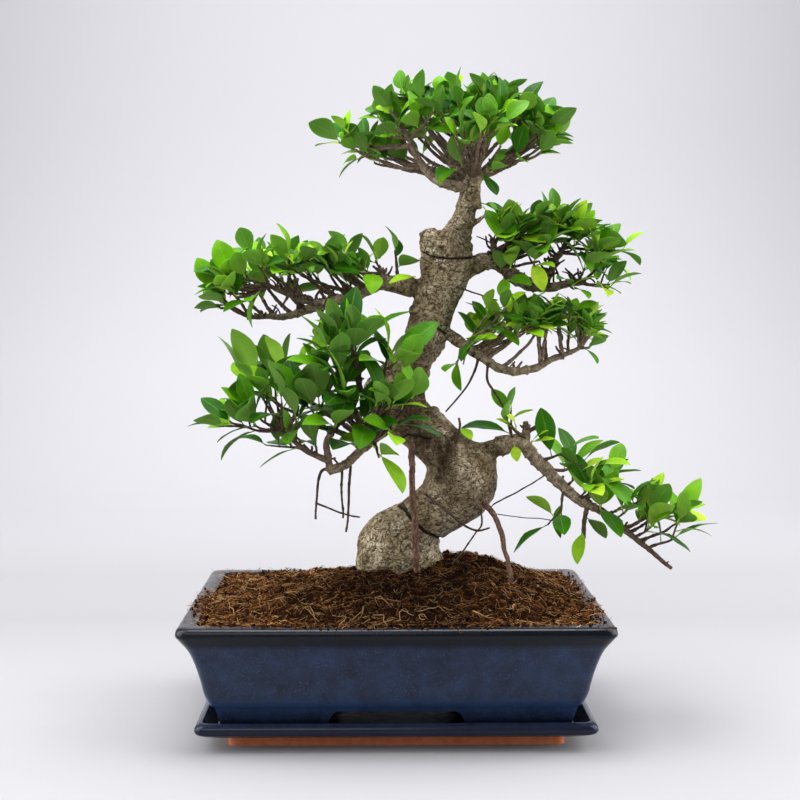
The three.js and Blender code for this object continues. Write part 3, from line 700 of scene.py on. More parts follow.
def make_soil():
    shape = Shape()
    rows = [(inset + CLEARANCE, z + GAP, radius) for inset, z, radius in POT_INSIDE[:4]]
    rings = [rounded_rectangle((POT_HALF[0] - i, POT_HALF[1] - i), r, z, SOIL_PER_EDGE)
             for i, z, r in rows]
    edge = rings[-1]
    half_x, half_y = max(p.x for p in edge), max(p.y for p in edge)
    # The top edge is ragged, and creeps out over the rim where coir has spilled.
    ragged = []
    for p in edge:
        spill = spill_height(p.x, p.y)
        out = within(spill * 2.4 + noise.noise(p / 9) * 3 - 1, 0, 10)
        high = POT_TOP + 0.5 + noise.noise(p / 6) * 0.3 if out > 0 else SOIL_EDGE
        ragged.append(p + outward_of(p, half_x, half_y) * out + UP * (high - p.z))
    rings.append(ragged)
    for k in range(1, SOIL_ROWS):
        share = 1 - k / SOIL_ROWS
        ring = []
        for p in ragged:
            reach = share * mixed(1 / math.hypot(p.x / half_x, p.y / half_y), 1, share)
            x, y = p.x * reach, p.y * reach
            ring.append(Vector((x, y, crumbly_height(x, y))))
        rings.append(ring)
    tints = [(within(0.2 + 0.22 * noise.noise(p / 5), 0, 1), 0, 0, 1) for ring in rings for p in ring]
    shape.loft(rings, 0, tints)
    finished(shape.build("soil_mound", [SOIL]), "soil", "soil")

    draw = seeded(5)
    loose = Shape()
    for _ in range(CRUMBS):
        x, y = (draw() * 2 - 1) * half_x, (draw() * 2 - 1) * half_y
        size = 0.7 + 1.9 * draw() ** 3
        add_crumb(loose, draw, Vector((x, y, crumbly_height(x, y) + size * 0.3)), size, 0.05 + 0.5 * draw())
    for _ in range(FIBRES):
        x, y = (draw() * 2 - 1) * half_x, (draw() * 2 - 1) * half_y
        heading = heading_of(draw() * 2 * math.pi, (draw() - 0.3) * 0.9)
        start = Vector((x, y, crumbly_height(x, y) + draw() * 2.2 - 0.3))
        add_fibre(loose, draw, start, heading, 4 + 19 * draw() ** 2.2, 0.17 + 0.28 * draw() ** 3,
                  0.16 + 0.84 * draw() ** 1.6)
    for (x, y), degrees, long in ROOT_FIBRES:
        turn = math.radians(degrees)
        at = Vector((x, y, crumbly_height(x, y) + 1.6))
        for fork in range(3):
            heading = heading_of(turn, 0.25)
            add_fibre(loose, draw, at, heading, long * (1 - 0.25 * fork), 0.5 - 0.09 * fork, 0.92)
            turn += (draw() - 0.5) * 1.8
    # Loose coir on the rim, thickest in the middle of each spill.
    for (cx, cy), (hx, hy), height in SPILLS:
        for _ in range(round(hx * hy * height / 9)):
            x = within(cx + (draw() + draw() + draw() - 1.5) * 1.5 * hx, -SPILL_HALF[0], SPILL_HALF[0])
            y = within(cy + (draw() + draw() + draw() - 1.5) * 1.5 * hy, -SPILL_HALF[1], SPILL_HALF[1])
            heading = heading_of(draw() * 2 * math.pi, 0.1 + 0.3 * draw())
            at = Vector((x, y, POT_TOP + 0.4 + 0.8 * spill_height(x, y) * draw()))
            if draw() < 0.4:
                add_crumb(loose, draw, at, 0.6 + 0.9 * draw(), 0.1 + 0.45 * draw())
            else:
                add_fibre(loose, draw, at, heading, 3 + 7 * draw(), 0.17 + 0.2 * draw(), 0.3 + 0.6 * draw())
    finished(loose.build("soil_fibres", [SOIL]), "soil")


# ---------------------------------------------------------------- trunk
TRUNK = (
    (103, -35, 43, 16, 36), (145, -39, 52, 16, 42), (170, -38, 43, 15, 41), (183, -34, 53, 13, 38),
    (198, -22, 82, 8, 34), (212, 3, 95, 4, 33), (230, 25, 100, 0, 34), (247, 31, 100, -2, 33),
    (263, 15, 96, 0, 31), (278, 0, 73, 2, 29), (295, -19, 52, 5, 28), (313, -32, 32, 8, 28),
    (330, -29, 32, 9, 27), (350, -11, 37, 10, 24), (372, 6, 50, 9, 23), (400, 14, 59, 7, 23),
    (438, 24, 73, 6, 25), (474, 23, 74, 6, 25), (480, 26, 71, 6, 22))
LEADER = ((52, 462, 5, 17), (60, 476, 4, 15), (67.5, 494, 1, 11), (71, 508, 1, 9.6))
STUB_TWIG = ((76, 487, 0, 3), (94, 500, -10, 2))
AERIAL_ROOTS = (
    ((22, 284, -8, 3.4), (16, 262, -23, 3.1), (18, 222, -32, 3.0), (21, 170, -34, 3.2), (24, 125, -36, 3.4)),
    ((82, 221, -6, 3.0), (100, 194, -34, 2.6), (110, 162, -46, 2.3), (119, 120, -53, 2.4)))
# Folds and cracks as lines (x, z) on the trunk's front, each with its depth and half width.
CREASES = (
    (((3, 211), (10, 205), (17, 195), (30, 183), (48, 175)), 3.6, 1.4),
    (((30, 221), (47, 207), (64, 193)), 1.8, 1.1),
    (((0, 214), (6, 213), (12, 206)), 1.8, 1.1),
    (((70, 182), (84, 186), (96, 196)), 1.6, 1),
    (((23, 461), (34, 456), (49, 454), (64, 454), (75, 455)), 2.6, 1.1),
    (((26, 384), (38, 388), (50, 380)), 2.2, 1.3),
    (((10, 330), (24, 320), (34, 324)), 2.4, 1.5),
    (((-6, 268), (12, 280), (34, 276)), 1.8, 1.2))
# Dark stains and painted shadows on the front in the same form: a line (x, z), how dark it is and its half
# width.
STAINS_AND_PAINTED_SHADOWS = (
    (((62, 287), (54, 270), (48, 253), (44, 238)), 1.0, 6),
    (((24, 278), (36, 274), (46, 266)), 0.9, 9),
    (((18, 340), (16, 322), (14, 306), (20, 292)), 0.85, 12))
# Burls as balls (x, z, depth, radius).
BURLS = ((19, 403, -6, 6), (21, 392, 0, 6), (62, 440, -4, 8), (38, 303, -10, 6), (70, 452, -2, 8),
         (28, 350, -8, 8), (82, 262, -4, 6))
# Where the bark is rough and flaky: from and to which height, and by how much.
CHUNKY = ((432, 506, 1.7), (290, 392, 1.3))
# The cut top's ragged rim stands up in this many small points.
CUT_POINTS = 26
VOXEL = 1.15
BOUGH_COLLAR = 30


def trunk_slice(z, left, right, depth, half_depth):
    a, b = sight(left, z, depth), sight(right, z, depth)
    return a.lerp(b, 0.5), (b.x - a.x) / 2, half_depth


SLICES = [trunk_slice(*row) for row in TRUNK]


def trunk_clearance(point):
    """How far a point stands clear of the trunk's surface, level with it. Negative inside."""
    above = next((i for i, s in enumerate(SLICES) if s[0].z > point.z), None)
    if above is None:
        return math.inf
    high, low = SLICES[above], SLICES[max(0, above - 1)]
    t = 0 if above == 0 else (point.z - low[0].z) / (high[0].z - low[0].z)
    middle = low[0].lerp(high[0], t)
    half_x, half_y = mixed(low[1], high[1], t), mixed(low[2], high[2], t)
    away = math.hypot((point.x - middle.x) / half_x, (point.y - middle.y) / half_y)
    return (away - 1) * min(half_x, half_y)


def branch_stump(branch):
    """The stump on the trunk that a branch grows from, straight behind its first station."""
    (first, radius), (second, _) = (placed(s) for s in branch["boughs"][0][:2])
    along = (second - first).normalized()
    return [(first - along * branch["stump"], radius * 1.25), (first - along * GAP, radius)]


def bough_collar(bough, girth):
    """The thick start of a bough, which the trunk's bark runs onto."""
    path = fine_path([placed(s) for s in bough], 3)
    made = []
    for at, radius in path:
        travelled = (at - path[0][0]).length
        if travelled > BOUGH_COLLAR or radius < 2.6:
            break
        made.append((at, radius * girth * (1.14 - 0.14 * travelled / BOUGH_COLLAR)))
    return made


def cut_points():
    """Small balls along the rim of the cut top and on it, irregular in place and size."""
    draw = seeded(9)
    top, half_x, half_y = SLICES[-1]
    balls = []
    for k in range(CUT_POINTS):
        angle = 2 * math.pi * (k + draw()) / CUT_POINTS
        out = 0.95 - 0.35 * draw() ** 2
        at = top + Vector((half_x * out * math.cos(angle), half_y * out * math.sin(angle), 4 * draw() - 3))
        balls.append((at, 1.4 + 2.2 * draw()))
    return balls


def nearness(point, strips):
    """The most that any of these lines on the trunk's front reaches at a point."""
    factor = EYE.y / (EYE.y - point.y)
    flat = Vector((mixed(EYE.x, point.x, factor), mixed(EYE.z, point.z, factor)))
    most = 0.0
    for line, amount, half_width in strips:
        for a, b in zip(line, line[1:]):
            a, b = Vector(a), Vector(b)
            t = within((flat - a).dot(b - a) / (b - a).length_squared, 0, 1)
            away = (flat - a.lerp(b, t)).length / half_width
            if away < 3:
                most = max(most, amount * math.exp(-away * away))
    return most


def bark_relief(point, front):
    """How far the bark rises at a point, and how deep the point lies in a groove, from 0 to 1."""
    swell = noise.noise(point / 40) * 2.4 + noise.noise(point / 14) * 1.5 + noise.noise(point / 5) * 0.5
    for low, high, height in CHUNKY:
        share = within((point.z - low) / 14, 0, 1) * within((high - point.z) / 14, 0, 1)
        swell += share * height * (noise.noise(point / 3.4) + noise.noise(point / 7))
    warp = point + noise.noise_vector(point / 12) * 7
    ridge = noise.noise(Vector((warp.x, warp.y, warp.z * 1.5)) / 8)
    wrinkle = max(0.0, 1 - abs(ridge) / 0.1) * within(noise.noise(point / 13) * 3 + 0.6, 0, 1)
    pit = noise.voronoi(warp / 7)[0][0]
    hole = max(0.0, 1 - pit / 0.32) if noise.noise(point / 10 + UP * 20) > 0.0 else 0.0
    fold = nearness(point, CREASES) if front else 0.0
    rise = swell - 0.9 * wrinkle - 1.5 * hole - fold
    return rise, within(0.45 * wrinkle + 0.9 * hole + fold / 2.2, 0, 1)


def make_trunk():
    shape = Shape()
    rows = [Vector((*s[0], s[1])) for s in SLICES]
    depths = [s[2] for s in SLICES]
    per_span, sides = 8, 64
    rings = []
    for k in range((len(SLICES) - 1) * per_span + 1):
        row, half_y = curve_through(rows, k / per_span), curve_through(depths, k / per_span)
        angles = [2 * math.pi * i / sides for i in range(sides)]
        rings.append([Vector((row.x + row.w * math.cos(a), row.y + half_y * math.sin(a), row.z))
                      for a in angles])
    shape.loft(rings)
    shape.tube(fine_path([placed(s) for s in LEADER], 3), 24)
    shape.tube([placed(s) for s in STUB_TWIG], 12)
    for at, radius in [placed(burl) for burl in BURLS] + cut_points():
        shape.tube([(at + UP * (radius * math.sin(a)), radius * math.cos(a) + 0.1)
                    for a in (math.pi * (k / 6 - 0.5) for k in range(7))], 16)
    for name, branch in BRANCHES.items():
        shape.tube(branch_stump(branch), 24)
        for bough in branch["boughs"]:
            if bough[0][3] >= 5:
                shape.tube(bough_collar(bough, GROWTH[name]["girth"]), 20)
    trunk = shape.build("trunk_bark", [BARK])
    with_modifier(trunk, "REMESH", mode="VOXEL", voxel_size=VOXEL * MM, use_smooth_shade=True)
    with_modifier(trunk, "SMOOTH", factor=0.5, iterations=8)
    mesh = trunk.data
    normals = [vertex.normal.copy() for vertex in mesh.vertices]
    tints = []
    for vertex, normal in zip(mesh.vertices, normals):
        point = vertex.co / MM
        clear = trunk_clearance(point)
        kept = within(1.2 - clear / 5, 0.3, 1) if clear < math.inf else 0.4
        front = normal.y < 0.1
        rise, groove = bark_relief(point, front)
        vertex.co += normal * (rise * kept * MM)
        tints.append((groove, nearness(point, STAINS_AND_PAINTED_SHADOWS) if front else 0, 0, 1))
    for layer in list(mesh.color_attributes):
        mesh.color_attributes.remove(layer)
    add_tints(mesh, tints)
    mesh.materials.clear()
    mesh.materials.append(BARK)
    mesh.shade_smooth()
    finished(trunk, "bark", "trunk")

    roots = Shape()
    for path in AERIAL_ROOTS:
        roots.tube(crooked([placed(s) for s in path], 1.6, 2.2, 0.14), 12)
    finished(roots.build("aerial_roots", [AERIAL]), "bark")


# ---------------------------------------------------------------- leafy branches
BRANCHES = {
    "branch_crown": {
        "seed": 11, "leaf": 29, "per_shoot": 3, "stump": 12,
        "boughs": (
            ((73, 515, 1, 11), (74, 526, 1, 10.5), (78, 550, 0, 7), (82, 572, 2, 3.5)),
            ((74, 524, 0, 6.5), (43, 530, -10, 5.2), (22, 552, -18, 3.4), (8, 582, -26, 2)),
            ((75, 532, 0, 6), (103, 544, 0, 4.6), (122, 564, 8, 3), (150, 584, 10, 1.8))),
        "tips": (
            (-52, 570, 4), (-36, 550, -20), (-6, 560, 34), (-6, 598, -26), (12, 610, -6), (6, 585, 58),
            (38, 598, -44), (44, 590, 46), (62, 608, -20), (66, 580, -66), (74, 610, 30),
            (60, 540, -34), (84, 596, 64), (92, 602, -4), (106, 612, -14), (108, 586, -60),
            (126, 596, -12), (132, 580, 54), (116, 560, 44), (152, 584, 10), (142, 556, -24),
            (160, 572, -14), (94, 538, -26)),
    },
    "branch_upper_left": {
        "seed": 23, "leaf": 33, "per_shoot": 3, "stump": 22,
        "boughs": (
            ((16, 426, 4, 9.5), (3, 428, 1, 8.3), (-17, 429, -2, 7), (-41, 418, -1, 5.2),
             (-75, 407, 1, 5), (-107, 398, 4, 3.4), (-146, 396, 4, 2.2)),
            ((-70, 408, 0, 3.8), (-94, 414, -10, 3.2), (-128, 429, -24, 2)),
            ((-9, 429, -2, 5), (-14, 444, -8, 3))),
        "tips": (
            (-178, 424, -16), (-172, 405, -8), (-156, 438, -28), (-104, 456, -30), (-84, 452, -34),
            (-60, 448, -30), (-32, 440, -24), (0, 462, -12), (-140, 434, 48), (-118, 448, 20),
            (-84, 444, 44), (-46, 446, 42), (-78, 374, -6), (-46, 400, -10), (-140, 412, -34)),
    },
    "branch_lower_left": {
        "seed": 37, "leaf": 46, "per_shoot": 3, "stump": 26,
        "boughs": (
            ((-12, 283, -26, 5.6), (-22, 275, -36, 4.8), (-41, 257, -42, 4.6), (-67, 243, -50, 5)),
            ((-65, 245, -49, 4.2), (-68, 270, -56, 3.4), (-56, 290, -62, 3.2), (-27, 307, -66, 3),
             (-13, 328, -70, 2.4), (-24, 356, -74, 1.8)),
            ((-67, 254, -52, 3.4), (-94, 269, -60, 2.8), (-116, 288, -60, 1.8))),
        "tips": (
            (-162, 292, -60), (-152, 338, -34), (-112, 312, -76), (-106, 268, -40), (-84, 338, -24),
            (-72, 344, -70), (-52, 314, -84), (-60, 374, -72), (-22, 382, -76), (4, 356, -80),
            (16, 316, -82), (-4, 280, -92), (-16, 258, -62), (-98, 296, -84)),
    },
    "branch_right_upper": {
        "seed": 41, "leaf": 33, "per_shoot": 3, "stump": 22,
        "boughs": (
            ((78, 447, 13, 8.7), (88, 451, 16, 8), (102, 449, 17, 7), (128, 430, 14, 7),
             (152, 426, 10, 4.8), (188, 431, 6, 2.2)),
            ((98, 450, 16, 4.4), (95, 474, 10, 2.6)),
            ((143, 428, 12, 4.6), (158, 451, 8, 3.4), (167, 470, 2, 1.8))),
        "tips": (
            (108, 484, -14), (130, 470, -4), (150, 480, -10), (164, 486, -6), (196, 462, -10),
            (224, 462, -4), (210, 424, 4), (124, 480, 44), (184, 474, 48), (206, 452, 38),
            (138, 446, -24), (110, 432, -8), (176, 424, -8)),
    },
    "branch_right_lower": {
        "seed": 59, "leaf": 29, "per_shoot": 3, "stump": 20,
        "boughs": (
            ((58, 376, -2, 5.8), (68, 369, -6, 5.4), (95, 351, -10, 4.8), (125, 343, -10, 4.6),
             (155, 354, -6, 3.4), (186, 368, -8, 1.8)),),
        "tips": (
            (90, 386, -20), (116, 388, -22), (142, 388, -26), (154, 396, -14), (176, 396, -14),
            (188, 382, -12), (192, 366, -12), (92, 390, 36), (132, 388, 36), (168, 390, 32),
            (78, 372, -22), (60, 350, -20)),
    },
    "branch_cascade": {
        "seed": 73, "leaf": 46, "per_shoot": 2, "stump": 26,
        "boughs": (
            ((103, 268, -5, 8.2), (112, 271, -8, 7.2), (126, 271, -10, 6.4), (147, 249, -14, 5.6),
             (172, 224, -18, 4.6), (206, 201, -22, 3.4), (238, 178, -24, 2.5), (276, 146, -26, 1.7)),
            ((128, 270, -10, 3.6), (131, 290, -12, 3.5))),
        "tips": (
            (112, 290, -24), (168, 262, -28), (194, 244, -38), (212, 232, -28), (254, 198, -38),
            (284, 202, -8), (278, 176, -30), (164, 200, -38), (152, 190, -36), (188, 184, -24),
            (186, 252, 12), (230, 210, 8)),
    },
}
# What fills a pad out: filler shoots for each of its tips and at places of their own, the share of
# shoots with a side twig, the leaves on each, how low fillers fork, how thick boughs are beside the
# solids, how pale thin wood is, how young and how broad leaves are, how far they may hang, and stubs.
# Small leaves keep above the underside, which is high at its middle x and drops away from there, given
# as (x, z, drop at 100 mm from x).
GROWTH = {
    "branch_crown": {
        "fillers": 3.0, "more": (), "filler_leaves": 4, "twigs": 0.5, "twig_leaves": 3, "low_forks": 0.88,
        "girth": 0.86, "pale": 0.6, "young": 0.0, "broad": 1.08, "hang": 0.15, "stubs": 30,
        "stub_reach": 9, "underside": (72, 580, 26)},
    "branch_upper_left": {
        "fillers": 2.3, "more": (), "filler_leaves": 4, "twigs": 0.4, "twig_leaves": 3, "low_forks": 0.5,
        "girth": 1.0, "pale": 0.15, "young": 0.1, "broad": 1.05, "hang": 0.2, "stubs": 90,
        "stub_reach": 15, "underside": (-70, 440, 20)},
    "branch_lower_left": {
        "fillers": 2.0, "more": (), "filler_leaves": 3, "twigs": 0.4, "twig_leaves": 2, "low_forks": 0.6,
        "girth": 0.9, "pale": 0.2, "young": -0.02, "broad": 0.86, "hang": 1, "stubs": 34,
        "stub_reach": 9, "underside": (0, 0, 0)},
    "branch_right_upper": {
        "fillers": 1.8, "more": (), "filler_leaves": 4, "twigs": 0.4, "twig_leaves": 3, "low_forks": 0.5,
        "girth": 1.0, "pale": 0.1, "young": 0.1, "broad": 1.0, "hang": 0.2, "stubs": 90,
        "stub_reach": 18, "underside": (140, 458, 40)},
    "branch_right_lower": {
        "fillers": 2.4, "more": ((92, 402, -18), (110, 406, -26), (134, 410, -22), (158, 408, -18),
                                 (182, 400, -12)),
        "filler_leaves": 4, "twigs": 0.5, "twig_leaves": 3, "low_forks": 0.35, "girth": 0.92,
        "pale": 0.85, "young": 0.16, "broad": 0.86, "hang": 0.3, "stubs": 14, "stub_reach": 9,
        "underside": (120, 378, 18)},
    "branch_cascade": {
        "fillers": 0.2, "more": ((244, 193, -25), (259, 200, -20), (286, 194, -20), (252, 185, -35),
                                 (229, 203, -35), (179, 237, -25), (190, 224, -34), (204, 206, -30)),
        "filler_leaves": 3, "twigs": 0.4, "twig_leaves": 3, "low_forks": 0.3, "girth": 1.14,
        "pale": 0.2, "young": 0.1, "broad": 0.76, "hang": 1, "stubs": 40, "stub_reach": 7,
        "underside": (0, 0, 0)},
}
SAMPLE_STEP = 6
BARE_START = 12
FORK_BIAS = 0.4
SHOOT_SAG = 0.12
LONG_SHOOT = 40
CLEAR_OF_TRUNK = 3
CLEAR_OF_GROUND = 6
CLEAR_OF_WOOD = 6
CLEAR_OF_LEAF = 11
CLEAR_OF_SMALL_LEAF = 4
FILLER_NEIGHBOURS = 5
FILLER_JITTER = 15


def samples_of(stations, travelled):
    """Places (point, radius, distance travelled) along a path, without its very end."""
    places = []
    for (start, r0), (end, r1) in zip(stations, stations[1:]):
        long = (end - start).length
        count = max(1, math.floor(long / SAMPLE_STEP + 0.5))
        for k in range(count):
            t = k / count
            places.append((start.lerp(end, t), mixed(r0, r1, t), travelled + long * t))
        travelled += long
    return places


def shoot_to(tip, skeleton, bias, steps=None):
    """A shoot that sags from the best fork to its tip, and how far its fork had travelled."""
    fork = min(skeleton, key=lambda place: (place[0] - tip).length + bias * place[2])
    long = (fork[0] - tip).length
    low = fork[0].lerp(tip, 0.5) - UP * (SHOOT_SAG * long)
    thick = min(0.75 * fork[1], 1.3 + 0.015 * long)
    steps = steps or ((0, 0.5, 1) if long > LONG_SHOOT else (0, 1))
    shoot = [(fork[0].lerp(low, t).lerp(low.lerp(tip, t), t), mixed(thick, TWIG_TIP_RADIUS, t))
             for t in steps]
    return shoot, fork[2]


def grow_wood(branch):
    """The boughs, and a shoot to each tip, forked from the wood before it."""
    boughs = [[placed(s) for s in bough] for bough in branch["boughs"]]
    skeleton = [place for place in samples_of(boughs[0], 0) if place[2] > BARE_START]
    for bough in boughs[1:]:
        origin = min(skeleton, key=lambda place: (place[0] - bough[0][0]).length)
        skeleton += samples_of(bough, origin[2])
    on_boughs = list(skeleton)
    shoots = []
    for x, z, depth in branch["tips"]:
        shoot, travelled = shoot_to(sight(x, z, depth), skeleton, FORK_BIAS)
        skeleton += samples_of(shoot, travelled)[1:]
        shoots.append(shoot)
    return boughs, shoots, on_boughs


def point_along(stations, t):
    place = t * (len(stations) - 1)
    i = min(len(stations) - 2, math.floor(place))
    return stations[i][0].lerp(stations[i + 1][0], place - i)


def leaves_of(shoot, leaf_length, count, draw, first=0.5):
    """A spiral of leaves up the outer part of a shoot. The last one nearly follows the shoot."""
    axis = ((shoot[-1][0] - shoot[-2][0]).normalized() + UP * 0.35).normalized()
    side = across(Vector((0.3, 1, 0.1)), axis)
    other = axis.cross(side)
    turn = draw() * 2 * math.pi
    leaves = []
    for k in range(count):
        share = k / (count - 1)
        angle = turn + k * GOLDEN_ANGLE
        spread = 1.2 - 0.85 * share
        along = turned(axis, turned(side, other, angle), spread)
        long = leaf_length * (0.8 + 0.35 * draw())
        base = point_along(shoot, first + (0.97 - first) * share)
        width = long * (0.44 + 0.1 * draw())
        leaves.append((base, base + along * long, width, across(UP + axis * 0.5, along)))
    return leaves


def leaf_points(leaf):
    base, tip, width, face = leaf
    side = face.cross((tip - base).normalized())
    return [base.lerp(tip, t) + side * (share * width)
            for t in (0.2, 0.4, 0.6, 0.8, 1) for share in (-0.5, 0, 0.5)]


def clear_of_ground(point):
    over_pot = abs(point.x) < POT_HALF[0] + 5 and abs(point.y) < POT_HALF[1] + 5
    return point.z > (soil_height(point.x, point.y) if over_pot else 0) + CLEAR_OF_GROUND


def tree_of(points):
    made = kdtree.KDTree(len(points))
    for i, point in enumerate(points):
        made.insert(point, i)
    made.balance()
    return made


def is_clear(leaf, wood, wood_reach, others, spacing):
    """Whether a leaf keeps off the trunk, the ground and the other branches."""
    for point in leaf_points(leaf):
        if trunk_clearance(point) <= CLEAR_OF_TRUNK or not clear_of_ground(point):
            return False
        if others.find_range(point, spacing):
            return False
        near = wood.find_range(point, max(wood_reach))
        if any(distance <= wood_reach[i] for _, i, distance in near):
            return False
    return True


# A blade's rows run from its stalk to its tip, its columns from edge to edge.
BLADE_ROWS = 10
BLADE_COLUMNS = (-1, -0.55, 0, 0.55, 1)
STALK = 0.13
BLADE_THICKNESS = 0.4


def add_leaf(shape, leaf, draw, age, light, broad=1.0):
    """One leaf: a stalk, then a blade folded along its midrib. It turns partly to face the light."""
    base, tip, width, face = leaf
    long = (tip - base).length
    along = (tip - base) / long
    face = across(face + light * 0.9 + Vector((draw() - 0.5, draw() - 0.5, 0)) * 0.7, along)
    side = face.cross(along)
    widest = 0.9 + 0.3 * draw()
    width *= broad * (1.02 + 0.16 * draw())
    fold = 0.08 + 0.24 * draw()
    wave = (draw() - 0.5) * 0.04 * long
    curl = (draw() - 0.25) * 0.4 * long
    phase = draw() * 6
    twist = (draw() - 0.5) * 0.5

    def rib(t):
        lift = long * LEAF_ARCH * 4 * t * (1 - t) - curl * max(0.0, t - 0.4) ** 2
        return base + along * (long * t) + face * lift
    points, tints = [], []
    for under in (0, 1):
        for r in range(BLADE_ROWS + 1):
            t = 0.5 - 0.5 * math.cos(math.pi * r / BLADE_ROWS)
            half = width * max(0.02, 0.5 * math.sin(math.pi * min(1, t) ** widest) ** 0.72)
            turn = twist * t
            right, lifted = turned(side, face, turn), turned(face, -side, turn)
            for s in BLADE_COLUMNS:
                rise = fold * abs(s) * half + wave * math.sin(phase + 9 * t) * s * s * math.sin(math.pi * t)
                thick = BLADE_THICKNESS * (0.5 - under) * (1.0 if abs(s) < 1 else 0.35)
                points.append(rib(mixed(STALK, 1, t)) + right * (s * half) + lifted * (rise + thick))
                tints.append((age, abs(s), t, under))
    columns = len(BLADE_COLUMNS)
    layer = columns * (BLADE_ROWS + 1)
    faces = []
    for r in range(BLADE_ROWS):
        for c in range(columns - 1):
            a = r * columns + c
            b = a + columns
            faces += [(a, a + 1, b + 1, b), (layer + a, layer + b, layer + b + 1, layer + a + 1)]
        a, b = r * columns, (r + 1) * columns
        faces.append((a, b, layer + b, layer + a))
        a, b = a + columns - 1, b + columns - 1
        faces.append((b, a, layer + a, layer + b))
    last = BLADE_ROWS * columns
    for c in range(columns - 1):
        faces.append((c + 1, c, layer + c, layer + c + 1))
        faces.append((last + c, last + c + 1, layer + last + c + 1, layer + last + c))
    shape.add(points, faces, 0, tints)
    shape.tube([(rib(0), 0.8), (rib(STALK * 0.6), 0.62), (rib(STALK * 1.2), 0.5)], 5, 0,
               (min(1.0, age + 0.3), 0.0, 0.0, 0.5))


def wood_tint(radius, pale):
    return (within((radius - 2.0) / 3.0, 0, 1), pale, 0, 1)


def add_wood(shape, stations, sides, pale, wander, knots):
    path = crooked(stations, 1.7, wander, knots)
    tints = [wood_tint(radius, pale) for _, radius in path for _ in range(sides)]
    shape.tube(path, sides, 0, tints)


def filler_tips(tips, count, draw):
    """Places among neighbouring tips, which fill a pad out."""
    made = []
    for _ in range(count):
        a = tips[int(draw() * len(tips))]
        near = sorted(tips, key=lambda tip: (tip - a).length)[1:1 + FILLER_NEIGHBOURS]
        b = near[int(draw() * len(near))]
        jitter = shaken(draw, 0.45) * FILLER_JITTER
        made.append(a.lerp(b, 0.25 + 0.5 * draw()) + jitter)
    return made


def small_growth(plan, draw):
    """Filler shoots, side twigs, their leaves, and bare stubs."""
    branch, growth = plan["branch"], plan["growth"]
    leaf = branch["leaf"]
    twigs, leaves = [], []
    tips = [shoot[-1][0] for shoot in plan["shoots"]]
    fillers = []
    fill = filler_tips(tips, round(len(tips) * growth["fillers"]), draw)
    for tip in fill + [sight(*place) for place in growth["more"]]:
        bias = growth["low_forks"] * (0.4 + draw())
        shoot, _ = shoot_to(tip, plan["on_boughs"], bias, (0, 0.25, 0.5, 0.75, 1))
        fillers.append(shoot)
        leaves += leaves_of(shoot, leaf * (0.8 + 0.35 * draw()), growth["filler_leaves"], draw, 0.84)
    bearing = plan["shoots"] + fillers
    for _ in range(round(len(bearing) * growth["twigs"])):
        shoot = bearing[int(draw() * len(bearing))]
        axis = (shoot[-1][0] - shoot[-2][0]).normalized()
        side = across(Vector((0.3, 1, 0.1)), axis)
        angle = draw() * 2 * math.pi
        out = turned(side, axis.cross(side), angle)
        way = (axis + out * (0.7 + 0.6 * draw()) + UP * 0.7).normalized()
        start = point_along(shoot, 0.6 + 0.35 * draw())
        twig = [(start, 1.15), (start + way * leaf * (0.3 + 0.35 * draw()), 0.7)]
        twigs.append(twig)
        leaves += leaves_of(twig, leaf * (0.55 + 0.35 * draw()), growth["twig_leaves"], draw)
    # Most stubs stand on the last bough, where the wood has been cut back often.
    for _ in range(growth["stubs"]):
        at, radius, _ = plan["on_boughs"][int(draw() ** 0.5 * len(plan["on_boughs"]))]
        way = heading_of(draw() * 2 * math.pi, 1.8 * draw()).normalized()
        reach = radius + growth["stub_reach"] * (0.15 + 0.85 * draw() ** 2)
        bend = at + way * (reach * 0.5) + shaken(draw, 0.3) * (reach * 0.4)
        thick = min(2.2, 0.6 + 0.2 * radius) * (0.7 + 0.5 * draw())
        twigs.append([(at, thick), (bend, thick * 0.9), (at + way * reach, thick * 0.7)])
    middle, high, drop = growth["underside"]
    kept = []
    for leaf in leaves:
        base, tip = leaf[:2]
        hangs = base.z - tip.z > growth["hang"] * (tip - base).length
        if not hangs and tip.z > high - drop * ((tip.x - middle) / 100) ** 2:
            kept.append(leaf)
    return fillers, twigs, kept


def grow_all():
    """The same leaves as in the solids, in the same order, then the small growth."""
    plans = []
    for name, branch in BRANCHES.items():
        boughs, shoots, on_boughs = grow_wood(branch)
        wood = [place for path in boughs + shoots for place in samples_of(path, 0)]
        plans.append({"name": name, "branch": branch, "growth": GROWTH[name], "boughs": boughs,
                      "shoots": shoots, "on_boughs": on_boughs, "wood": wood})

    def others_of(plan, keys):
        wood = [place for p in plans if p is not plan for place in p["wood"]]
        reach = [radius + CLEAR_OF_WOOD for _, radius, _ in wood]
        taken = [point for p in plans if p is not plan for key in keys
                 for leaf in p.get(key, ()) for point in leaf_points(leaf)]
        return tree_of([place[0] for place in wood]), reach, tree_of(taken)
    for plan in plans:
        draw = seeded(plan["branch"]["seed"])
        wood, reach, taken = others_of(plan, ("leaves",))
        grown = [leaf for shoot in plan["shoots"]
                 for leaf in leaves_of(shoot, plan["branch"]["leaf"], plan["branch"]["per_shoot"], draw)]
        plan["leaves"] = [leaf for leaf in grown if is_clear(leaf, wood, reach, taken, CLEAR_OF_LEAF)]
    for plan in plans:
        draw = seeded(plan["branch"]["seed"] + 1000)
        wood, reach, taken = others_of(plan, ("leaves", "small"))
        plan["fillers"], plan["twigs"], leaves = small_growth(plan, draw)
        plan["small"] = [leaf for leaf in leaves
                         if is_clear(leaf, wood, reach, taken, CLEAR_OF_SMALL_LEAF)]
    return plans


